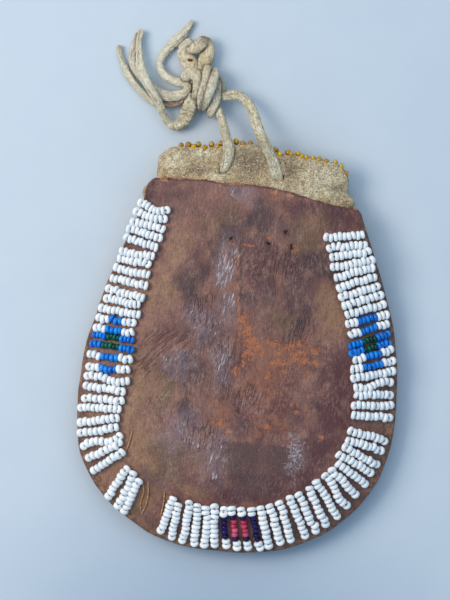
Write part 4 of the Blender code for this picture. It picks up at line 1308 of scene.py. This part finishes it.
# %% Line and frame of a strip
def strip_line(stations, step):
    """The route with its widths. Each traced stop moves along its line of sight to its own height."""
    route = np.array(stations, dtype=float)
    route[:, :5] *= MM
    sight = (CAMERA_DISTANCE + BEAD_PLANE - route[:, 2:3]) / CAMERA_DISTANCE
    route[:, :2] = VIEW_CENTRE + (route[:, :2] - VIEW_CENTRE) * sight
    return smooth_line(route, max(12, int(line_length(route) / step)))


def strip_frame(middle):
    """Directions ahead, to the side and up along the strip. Where it stands steep, the side carries on."""
    ahead = np.gradient(middle, axis=0)
    ahead /= np.linalg.norm(ahead, axis=1)[:, None]
    side = np.cross(ahead, (0.0, 0.0, 1.0))
    side[0] /= np.linalg.norm(side[0])
    for number in range(1, len(middle)):
        drift = side[number - 1] - ahead[number] * (side[number - 1] @ ahead[number])
        weight = np.linalg.norm(side[number])
        side[number] = side[number] * weight + drift * (1.0 - weight)
        side[number] /= np.linalg.norm(side[number])
    return ahead, side, np.cross(side, ahead)


# %% Grooves and wrinkles
STRIP_SIDES = 18
STRIP_TURN = np.arange(STRIP_SIDES) / STRIP_SIDES * 2 * math.pi
GROOVE_SPREAD = 0.24
WRINKLE_PITCH = 0.00112
WRINKLE_DEPTH = 0.19


def between(share, stretch, fade):
    """1 inside a stretch of the strip, with soft ends."""
    return np.clip(np.minimum(share - stretch[0], stretch[1] - share) / fade, 0.0, 1.0)


def strip_groove(middle, along, seed, seam, wind):
    """How deep in the groove each corner lies, from 0 to 1."""
    groove_at = seam + 0.45 * np.sin(along[:, None] * 260.0 + seed) + wind * along[:, None] * 1000
    gap = np.angle(np.exp(1j * (STRIP_TURN[None] - groove_at)))
    strength = np.clip(0.6 + wander(middle, 300.0, seed + 80.0), 0.0, 1.0)[:, None]
    return np.exp(-(gap / GROOVE_SPREAD) ** 2) * strength


def strip_wrinkles(middle, along, share, seed, wrinkled):
    """How deep in a cross wrinkle each corner lies. The wrinkles wind round the strip like a thread."""
    uneven_pitch = 0.8 * wander(middle, 380.0, seed + 20.0)[:, None]
    winding = along[:, None] / WRINKLE_PITCH + STRIP_TURN[None] / (2 * math.pi) + uneven_pitch
    spiral = np.abs(np.sin(math.pi * winding))
    strength = np.clip(0.7 + wander(middle, 700.0, seed + 60.0), 0.2, 1.0)[:, None]
    return between(share, wrinkled, 0.04)[:, None] * (1.0 - spiral) ** 2 * strength


# %% Form of a strip
NOWHERE = (2.0, 2.0)


def strip_form(stations, seed=0.0, groove=0.16, seam=1.57, wind=0.0, wrinkled=NOWHERE, stained=NOWHERE,
               step=0.0004):
    """Corners, faces, fibre directions, stain and shade shares, and middle line of one strip."""
    line = strip_line(stations, step)
    middle, width, depth, roll = line[:, :3], line[:, 3], line[:, 4], np.radians(line[:, 5])
    count = len(middle)
    ahead, side, up = strip_frame(middle)
    along = distances_along(middle)
    share = along / along[-1]
    in_groove = strip_groove(middle, along, seed, seam, wind)
    crease = strip_wrinkles(middle, along, share, seed, wrinkled)
    swollen = 1.0 - groove * in_groove - WRINKLE_DEPTH * crease
    cos_turn, sin_turn = np.cos(STRIP_TURN), np.sin(STRIP_TURN)
    wide = np.sign(cos_turn) * np.abs(cos_turn) ** 0.7
    deep = np.sign(sin_turn) * np.abs(sin_turn) ** 0.75
    uneven = 1.0 + 0.07 * wander(middle, 420.0, seed + 50.0)[:, None]
    taper = np.clip(np.minimum(along, along[-1] - along) / 0.0003, 0.0, 1.0)[:, None] ** 0.5 * 0.3 + 0.7
    across = width[:, None] / 2 * wide[None] * swollen * taper * uneven
    high = depth[:, None] / 2 * deep[None] * swollen * taper
    cos, sin = np.cos(roll)[:, None], np.sin(roll)[:, None]
    across, high = across * cos - high * sin, across * sin + high * cos
    rings = middle[:, None] + side[:, None] * across[..., None] + up[:, None] * high[..., None]
    flat = rings.reshape(-1, 3)
    bumps = 0.00018 * wander(flat, 430.0, seed) + 0.00013 * wander(flat, 1250.0, seed)
    away = flat - np.repeat(middle, STRIP_SIDES, axis=0)
    away /= np.linalg.norm(away, axis=1)[:, None] + 1e-9
    verts = np.vstack([flat + away * bumps[:, None], middle[:1] - ahead[:1] * 0.0001,
                       middle[-1:] + ahead[-1:] * 0.0001])
    verts[:, 2] = np.maximum(verts[:, 2], 0.0001)
    fibre = np.column_stack([np.repeat(along * 1000, STRIP_SIDES), np.tile(cos_turn, count),
                             np.tile(sin_turn, count)])
    fade = between(share, stained, 0.06)
    return {
        "verts": verts,
        "faces": ring_faces(count, STRIP_SIDES) + tip_faces(count),
        "fibre": np.vstack([fibre, fibre[:1], fibre[-1:]]),
        "stain_and_shade_share": np.concatenate([np.repeat(fade, STRIP_SIDES), fade[:1], fade[-1:]]),
        "seams": np.concatenate([np.maximum(in_groove * min(1.0, groove * 4), crease).ravel(), [0.0, 0.0]]),
        "middle": middle,
    }


def tip_faces(count):
    """Fans of triangles that close both ends of a strip round its two tip corners."""
    first_tip = count * STRIP_SIDES
    last = first_tip - STRIP_SIDES
    faces = []
    for spot in range(STRIP_SIDES):
        after = (spot + 1) % STRIP_SIDES
        faces.append((spot, first_tip, after))
        faces.append((last + spot, last + after, first_tip + 1))
    return faces


# %% Pieces from strips
TOUCH_CLEAR = 0.00012
TOUCH_REACH = 0.00050
FIBRE_SHIFT = 37.0


def crevice_shade_and_dirt_of(form, others):
    """How dark each corner is painted: dirt and shade where strips lie close, in grooves and wrinkles."""
    places = [place for other in others if other is not form for place in other["verts"]]
    near = kdtree.KDTree(len(places))
    for number, place in enumerate(places):
        near.insert(place, number)
    near.balance()
    gaps = np.array([near.find(place)[2] for place in form["verts"]])
    close = np.clip(1.0 - (gaps - TOUCH_CLEAR) / TOUCH_REACH, 0.0, 1.0)
    return np.maximum(close, 0.8 * form["seams"])


def strip_piece(name, forms, others):
    """One piece from one or more strips."""
    verts = np.vstack([form["verts"] for form in forms])
    faces, size = [], 0
    for form in forms:
        faces += [tuple(corner + size for corner in face) for face in form["faces"]]
        size += len(form["verts"])
    fibres = [form["fibre"] + [FIBRE_SHIFT * number, 0.0, 0.0] for number, form in enumerate(forms)]
    piece = make_piece(name, verts, faces, [hide])
    store_values(piece, "fibre", "FLOAT_VECTOR", np.vstack(fibres))
    store_values(piece, "touch", "FLOAT", np.concatenate([crevice_shade_and_dirt_of(form, others) for form in forms]))
    store_values(piece, "stained", "FLOAT", np.concatenate([form["stain_and_shade_share"] for form in forms]))
    return piece


# %% Routes of the thong
DRAWSTRING = [
    (-14.4, 68.4, 3.2, 1.6, 1.5, 0), (-13.4, 66.7, 3.6, 1.7, 1.5, 0), (-12.9, 65.0, 4.4, 2.0, 1.5, 0),
    (-12.2, 63.2, 5.6, 2.3, 1.5, 4), (-11.3, 61.2, 7.2, 2.5, 1.5, 4), (-10.4, 58.6, 9.0, 2.6, 1.5, 0),
    (-9.5, 55.8, 10.1, 3.0, 1.4, -4), (-9.1, 53.4, 10.3, 3.2, 1.4, -6), (-9.2, 51.4, 10.0, 3.2, 1.4, -4),
    (-9.6, 49.6, 9.7, 2.6, 1.3, 0), (-10.0, 48.3, 9.1, 2.0, 1.3, 0), (-10.1, 47.7, 7.8, 1.8, 1.2, 0),
    (-9.2, 46.8, 6.1, 2.0, 1.2, 0), (-3.0, 45.9, 5.9, 2.4, 1.3, 0), (2.8, 46.0, 6.0, 2.6, 1.3, 0),
    (4.6, 46.8, 6.8, 3.0, 1.2, 0), (5.0, 47.2, 8.4, 3.4, 1.2, 0), (4.9, 48.1, 9.5, 3.5, 1.2, -2),
    (4.4, 50.0, 10.0, 3.6, 1.2, -6), (3.3, 52.6, 10.4, 3.4, 1.3, -10), (1.6, 55.6, 10.5, 3.1, 1.3, -12),
    (-0.3, 58.7, 9.5, 3.0, 1.4, -10), (-1.8, 61.9, 7.8, 2.9, 1.4, -4), (-3.2, 65.1, 6.2, 2.9, 1.5, 4),
    (-5.0, 67.8, 5.1, 2.9, 1.5, 8), (-7.2, 69.5, 4.7, 2.9, 1.5, 8), (-9.6, 69.7, 4.5, 2.9, 1.6, 4),
    (-11.6, 69.1, 4.2, 2.7, 1.7, 0), (-13.4, 68.8, 3.6, 2.3, 1.7, 0),
]
LOOP = [
    (-20.4, 71.9, 4.0, 2.2, 1.8, 0), (-21.0, 74.0, 4.4, 3.0, 2.0, 0), (-21.5, 75.7, 4.2, 3.9, 2.2, 0),
    (-22.5, 77.6, 3.8, 4.3, 2.4, 0), (-23.9, 79.6, 3.3, 4.0, 2.4, 0), (-24.1, 81.5, 3.1, 3.6, 2.3, 0),
    (-23.0, 82.7, 3.2, 3.2, 2.4, 0), (-21.6, 82.2, 3.5, 3.1, 2.6, 10), (-20.4, 82.8, 3.6, 3.4, 2.8, 20),
    (-19.1, 83.7, 3.4, 3.4, 2.7, 20), (-17.7, 83.0, 3.2, 3.2, 2.4, 0), (-17.3, 81.2, 3.0, 3.7, 2.3, 0),
    (-17.8, 79.3, 3.1, 4.1, 2.3, 0), (-18.4, 77.7, 3.5, 3.9, 2.2, 0), (-19.0, 76.0, 4.0, 2.8, 2.0, 0),
    (-19.2, 74.2, 4.4, 2.2, 1.9, 0), (-19.3, 72.0, 4.2, 1.9, 1.8, 0),
]
LOOP_FOLD = [
    (-23.3, 80.9, 3.6, 2.0, 1.8, 0), (-22.2, 81.1, 4.0, 2.6, 2.3, 0), (-20.9, 82.0, 4.3, 3.5, 2.7, 0),
    (-19.8, 83.0, 4.2, 3.7, 2.7, 0), (-18.8, 84.0, 3.7, 3.0, 2.2, 0), (-18.2, 84.8, 3.2, 2.0, 1.6, 0),
]
TIE = [
    (-22.5, 89.2, 1.0, 1.4, 1.2, 10), (-23.3, 87.8, 1.1, 1.7, 1.3, 10), (-24.6, 85.7, 1.2, 2.3, 1.4, 0),
    (-26.1, 84.0, 1.3, 2.8, 1.4, -8), (-27.7, 82.1, 1.3, 2.8, 1.5, -8), (-29.2, 80.3, 1.3, 2.4, 1.5, 0),
    (-30.3, 78.0, 1.4, 2.2, 1.6, 0), (-30.5, 76.0, 1.6, 2.2, 1.7, 0), (-29.4, 73.9, 2.2, 2.3, 1.8, 0),
    (-27.4, 72.4, 3.0, 2.5, 1.8, 0), (-25.3, 71.8, 3.7, 2.4, 1.9, 0), (-23.5, 71.6, 4.2, 2.4, 1.9, 0),
    (-22.3, 70.8, 4.4, 2.4, 1.9, 0), (-22.4, 69.6, 4.3, 2.4, 1.9, 0), (-23.5, 68.6, 4.0, 2.5, 1.9, 0),
    (-25.2, 67.9, 3.6, 2.8, 1.8, 0), (-27.2, 67.6, 3.1, 3.0, 1.7, 0), (-29.2, 68.0, 2.4, 2.7, 1.6, 0),
    (-31.2, 69.1, 1.7, 2.3, 1.4, 0), (-33.4, 70.6, 1.3, 2.1, 1.3, 0), (-35.5, 72.2, 1.1, 2.0, 1.3, 0),
    (-37.3, 74.0, 1.0, 2.0, 1.3, 0), (-38.4, 76.2, 1.0, 2.0, 1.3, 0), (-38.5, 78.5, 1.0, 1.9, 1.3, 0),
    (-38.2, 80.9, 1.0, 1.7, 1.3, 0), (-37.8, 83.1, 1.1, 1.5, 1.2, 0), (-37.3, 84.4, 1.2, 1.2, 1.0, 0),
]
OVER = [
    (-36.4, 85.3, 1.5, 1.7, 1.3, 0), (-36.8, 84.3, 1.7, 1.9, 1.4, 0), (-37.0, 82.8, 1.9, 1.7, 1.5, 0),
    (-36.9, 80.7, 2.1, 1.8, 1.6, 0), (-36.6, 78.5, 2.4, 2.1, 1.6, 0), (-36.1, 76.2, 2.9, 2.5, 1.6, 0),
    (-35.4, 74.0, 3.5, 2.7, 1.5, 0), (-34.4, 71.8, 4.0, 2.7, 1.5, 0), (-32.8, 69.5, 4.3, 2.4, 1.5, 0),
    (-31.2, 67.3, 4.3, 2.3, 1.6, 0), (-29.7, 65.2, 3.9, 2.3, 1.7, 0), (-28.5, 63.0, 3.1, 2.2, 1.8, 0),
    (-27.4, 61.1, 2.3, 2.2, 1.9, 0), (-26.0, 59.8, 1.9, 2.4, 2.1, 0), (-24.4, 59.6, 1.9, 2.9, 2.5, 0),
    (-22.9, 60.5, 2.2, 3.6, 3.0, 0), (-22.0, 62.1, 2.7, 4.0, 3.2, 0), (-21.5, 63.8, 3.1, 4.3, 3.2, 0),
    (-21.1, 65.6, 3.6, 4.0, 3.0, 0), (-20.8, 67.3, 4.2, 3.2, 2.6, 0), (-20.4, 68.9, 4.8, 2.6, 2.2, 0),
]
LOW = [
    (-42.5, 80.4, 1.0, 1.5, 1.2, 0), (-42.2, 79.2, 1.0, 1.7, 1.2, 0), (-41.7, 77.2, 1.0, 1.7, 1.3, 0),
    (-40.7, 75.0, 1.0, 1.8, 1.3, 0), (-39.4, 72.9, 1.1, 2.3, 1.2, 10), (-37.8, 70.9, 1.0, 2.2, 1.2, 0),
    (-36.0, 69.0, 1.0, 2.1, 1.2, 0), (-33.9, 67.2, 1.0, 2.1, 1.3, 0), (-31.7, 65.8, 1.1, 2.1, 1.3, 0),
    (-29.6, 65.1, 1.3, 2.0, 1.4, 0), (-27.5, 65.2, 1.7, 2.0, 1.5, 0), (-25.5, 65.8, 2.2, 2.0, 1.5, 0),
    (-23.8, 66.8, 2.8, 2.0, 1.6, 0), (-22.4, 67.9, 3.2, 1.9, 1.6, 0), (-21.0, 69.5, 3.3, 1.8, 1.6, 0),
]

# %% Wraps of the knot
KNOT_WRAPS = [
    [(-22.3, 72.2, 3.0, 2.8, 2.4, 0), (-22.8, 73.4, 4.6, 3.4, 2.6, 0), (-21.9, 74.6, 5.7, 3.5, 2.5, 0),
     (-20.6, 74.4, 6.6, 3.2, 2.3, 0), (-19.7, 73.1, 7.1, 2.8, 2.1, 0), (-19.4, 71.7, 6.9, 2.6, 2.0, 0),
     (-19.6, 70.2, 6.4, 2.4, 2.0, 0), (-19.8, 68.8, 5.6, 2.2, 1.9, 0), (-20.0, 67.6, 4.4, 1.9, 1.8, 0)],
    [(-17.3, 76.8, 3.0, 1.8, 1.6, 0), (-17.2, 76.2, 5.2, 2.3, 1.9, 0), (-17.3, 74.8, 6.8, 2.4, 2.1, 0),
     (-17.6, 73.0, 7.4, 2.4, 2.1, 0), (-17.8, 71.0, 7.5, 2.4, 2.1, 0), (-18.1, 69.0, 7.1, 2.4, 2.0, 0),
     (-18.2, 67.2, 6.2, 2.2, 1.9, 0), (-17.9, 65.6, 4.6, 1.9, 1.7, 0), (-17.5, 64.9, 3.0, 1.5, 1.5, 0)],
    [(-15.0, 76.1, 2.8, 1.9, 1.7, 0), (-15.0, 75.4, 5.2, 2.4, 2.0, 0), (-15.2, 74.0, 7.0, 2.7, 2.2, 0),
     (-15.5, 72.2, 7.7, 2.9, 2.2, 0), (-15.9, 70.4, 7.7, 2.9, 2.2, 0), (-16.4, 68.5, 7.2, 2.8, 2.1, 0),
     (-16.9, 66.9, 6.2, 2.5, 1.9, 0), (-17.1, 65.5, 4.6, 2.0, 1.7, 0), (-17.2, 64.7, 3.0, 1.5, 1.5, 0)],
    [(-14.0, 73.3, 2.2, 1.6, 1.5, 0), (-13.8, 71.8, 4.0, 1.9, 1.7, 0), (-13.8, 70.0, 5.2, 2.2, 1.9, 0),
     (-14.0, 68.2, 5.5, 2.5, 1.9, 0), (-14.4, 66.4, 5.2, 2.7, 1.9, 0), (-14.9, 64.7, 4.4, 2.5, 1.8, 0),
     (-15.2, 63.6, 3.2, 2.0, 1.6, 0), (-15.2, 63.0, 1.9, 1.5, 1.3, 0)],
    [(-13.8, 74.5, 2.0, 1.3, 1.2, 0), (-13.0, 73.2, 2.8, 1.4, 1.3, 0), (-12.4, 71.9, 3.1, 1.4, 1.3, 0),
     (-12.1, 70.5, 3.0, 1.4, 1.3, 0), (-12.2, 69.1, 2.6, 1.4, 1.3, 0)],
    [(-23.0, 73.2, 2.2, 2.6, 2.2, 0), (-20.6, 71.4, 2.6, 3.2, 2.6, 0), (-17.4, 70.2, 2.8, 3.6, 2.8, 0),
     (-14.4, 70.6, 2.4, 2.6, 2.2, 0)],
    [(-20.6, 74.8, 2.2, 2.8, 2.4, 0), (-18.8, 72.0, 2.4, 3.6, 2.8, 0), (-17.2, 68.2, 2.4, 3.6, 2.8, 0),
     (-16.0, 65.2, 2.0, 2.4, 2.2, 0)],
    [(-18.4, 75.4, 3.6, 4.4, 3.0, 0), (-17.8, 73.4, 4.4, 6.6, 3.8, 0), (-17.4, 70.8, 4.6, 7.0, 3.8, 0),
     (-17.2, 68.4, 4.4, 5.8, 3.6, 0), (-17.2, 66.4, 3.6, 3.4, 3.0, 0)],
]
knot_forms = [strip_form(stations, seed=30.0 + 3 * number, groove=0.10, wind=0.02)
              for number, stations in enumerate(KNOT_WRAPS)]

# %% Drawstring, loop and ends
# Each: piece, CAD node, routes, the shape of its strips, and what its far end is.
THONG_PIECES = [
    ("drawstring", "drawstring_thong", [DRAWSTRING], dict(seed=1.0, groove=0.10, seam=2.4), "object"),
    ("knot_loop", "thong_loop", [LOOP, LOOP_FOLD],
     dict(seed=5.0, groove=0.12, wind=0.05, wrinkled=(0.34, 0.62), step=0.0002), "object"),
    ("tie_ends", "tie_thong", [TIE], dict(seed=9.0, groove=0.24, seam=2.5, wind=-0.015), "bare"),
    ("upper_end", "thong_over_end", [OVER],
     dict(seed=13.0, groove=0.22, seam=0.9, wind=0.03, wrinkled=(0.70, 0.93), step=0.00017), "bare"),
    ("lower_end", "thong_low_end", [LOW],
     dict(seed=17.0, groove=0.20, seam=2.3, stained=(0.62, 1.1)), "bare"),
]
thong_forms = {name: [strip_form(route, **shape) for route in routes]
               for name, _, routes, shape, _ in THONG_PIECES}
all_forms = knot_forms + [form for forms in thong_forms.values() for form in forms]
for name, node, routes, _, far_end in THONG_PIECES:
    piece = strip_piece(name, thong_forms[name], all_forms)
    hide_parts(node)

# %% [markdown]
# ## The knot
# The knot is the same thong wrapped over itself, modelled as short strips placed one by one. Five arch over
# its top, where the photograph shows the turns: one over the loop's root, and four side by side. The last
# three fill the inside, which can't be seen, so their course is a guess.

# %% Knot piece
knot = strip_piece("tied_knot", knot_forms, all_forms)
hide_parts("thong_knot")
print("knot corners:", len(knot.data.vertices))

# %% [markdown]
# ## Loose sinew and seam stitches
# Where beads were lost, the sinew that held them still lies on the leather. Round the rim, a running stitch
# holds the two panels together. The photograph shows hardly any of it, so its spacing here is a guess.

# %% Loose sinew
LOOSE_SINEW = [
    [(-22.7, -40.2), (-22.3, -43.6), (-22.6, -46.8), (-23.7, -50.0)],
    [(-24.1, -40.6), (-23.6, -43.4), (-24.2, -46.4), (-23.9, -48.6)],
    [(-17.8, -42.6), (-17.8, -46.2), (-18.3, -49.8)],
    [(-28.3, -26.2), (-28.9, -29.6), (-29.6, -32.2), (-31.0, -34.8)],
]
SINEW_RADIUS = 0.00021
SINEW_STOPS = 26
threads = Pile()
for route in LOOSE_SINEW:
    plan = smooth_line(np.array(route) * MM, SINEW_STOPS)
    height = front_top(plan) + 0.00012 + 0.0002 * np.sin(np.linspace(0.0, math.pi, SINEW_STOPS))
    height[[0, -1]] -= 0.0005
    threads.add(*tube(np.column_stack([plan, height]), SINEW_RADIUS, 6), 0)

# %% Running stitch
STITCH_SAMPLES = 1201
STITCH_INSET = 0.0013
STITCH_RADIUS = 0.00016
STITCH_FIRST = 30
STITCH_LAST = 1165
STITCH_PITCH = 12
STITCH_LONG = 8
stitch_line = smooth_line(rim_line[::10], STITCH_SAMPLES)
stitch_line = stitch_line + STITCH_INSET * left_of(stitch_line)
for first in range(STITCH_FIRST, STITCH_LAST, STITCH_PITCH):
    plan = stitch_line[first:first + STITCH_LONG]
    arch = 0.00035 * np.sin(np.linspace(0.0, math.pi, len(plan)))
    low = back_bottom(plan) + 0.00022 - arch
    threads.add(*tube(np.column_stack([plan, low]), STITCH_RADIUS, 5), 0)
thread_piece = threads.piece("loose_sinew_and_stitches", [sinew])
print("thread corners:", len(thread_piece.data.vertices))

# %% [markdown]
# ## Floor and light
# The photograph's surface is a plain pale blue, dimmer toward the bottom, with soft shadows to the right.
# One lamp stands in for a window at the left and a second, wide one for the ceiling toward the top. An even
# pale blue sky fills the shadows, and all of it stays at a plain level.

# %% Floor
FLOOR_HALF = 2
surface = Finish("pale_floor", Roughness=0.9)
surface.ground(surface.cloudy(0.05, 0.3, 0.7, 8.0), (194, 208, 222), (197, 211, 224))
# Painted shade: a soft darker patch on the floor toward the bottom.
surface.coat((148, 169, 191), 0.90, surface.spotted([(2.0, -98.0, 100.0, 86.0)], 1.0))
floor_corners = [(-FLOOR_HALF, -FLOOR_HALF, 0), (FLOOR_HALF, -FLOOR_HALF, 0), (FLOOR_HALF, FLOOR_HALF, 0),
                 (-FLOOR_HALF, FLOOR_HALF, 0)]
floor = make_piece("floor", floor_corners, [(0, 1, 2, 3)], [surface.done()])
floor.location.z = -0.0001

# %% Lamps and sky
POUCH_MIDDLE = (0.0, 0.01, 0.0)
# Each: name, place, size, power and colour.
LAMPS = [
    ("window_light", (-0.46, 0.10, 0.50), 0.36, 2.9, (1.07, 0.91, 0.745)),
    ("ceiling_light", (-0.10, 0.55, 0.75), 0.80, 1.9, (1.0, 0.93, 0.83)),
]
world = bpy.data.worlds.new("studio_sky")
world.use_nodes = True
world.node_tree.nodes["Background"].inputs["Color"].default_value = linear(198, 228, 255)
world.node_tree.nodes["Background"].inputs["Strength"].default_value = 0.62
bpy.context.scene.world = world
for name, place, size, power, color in LAMPS:
    lamp_data = bpy.data.lights.new(name, "AREA")
    lamp_data.size = size
    lamp_data.energy = power
    lamp_data.color = color
    lamp = bpy.data.objects.new(name, lamp_data)
    lamp.location = place
    lamp.rotation_euler = (Vector(POUCH_MIDDLE) - Vector(place)).to_track_quat("-Z", "Y").to_euler()
    bpy.context.scene.collection.objects.link(lamp)
bpy.context.scene.view_settings.view_transform = "Standard"
print("lamps:", [name for name, *_ in LAMPS])
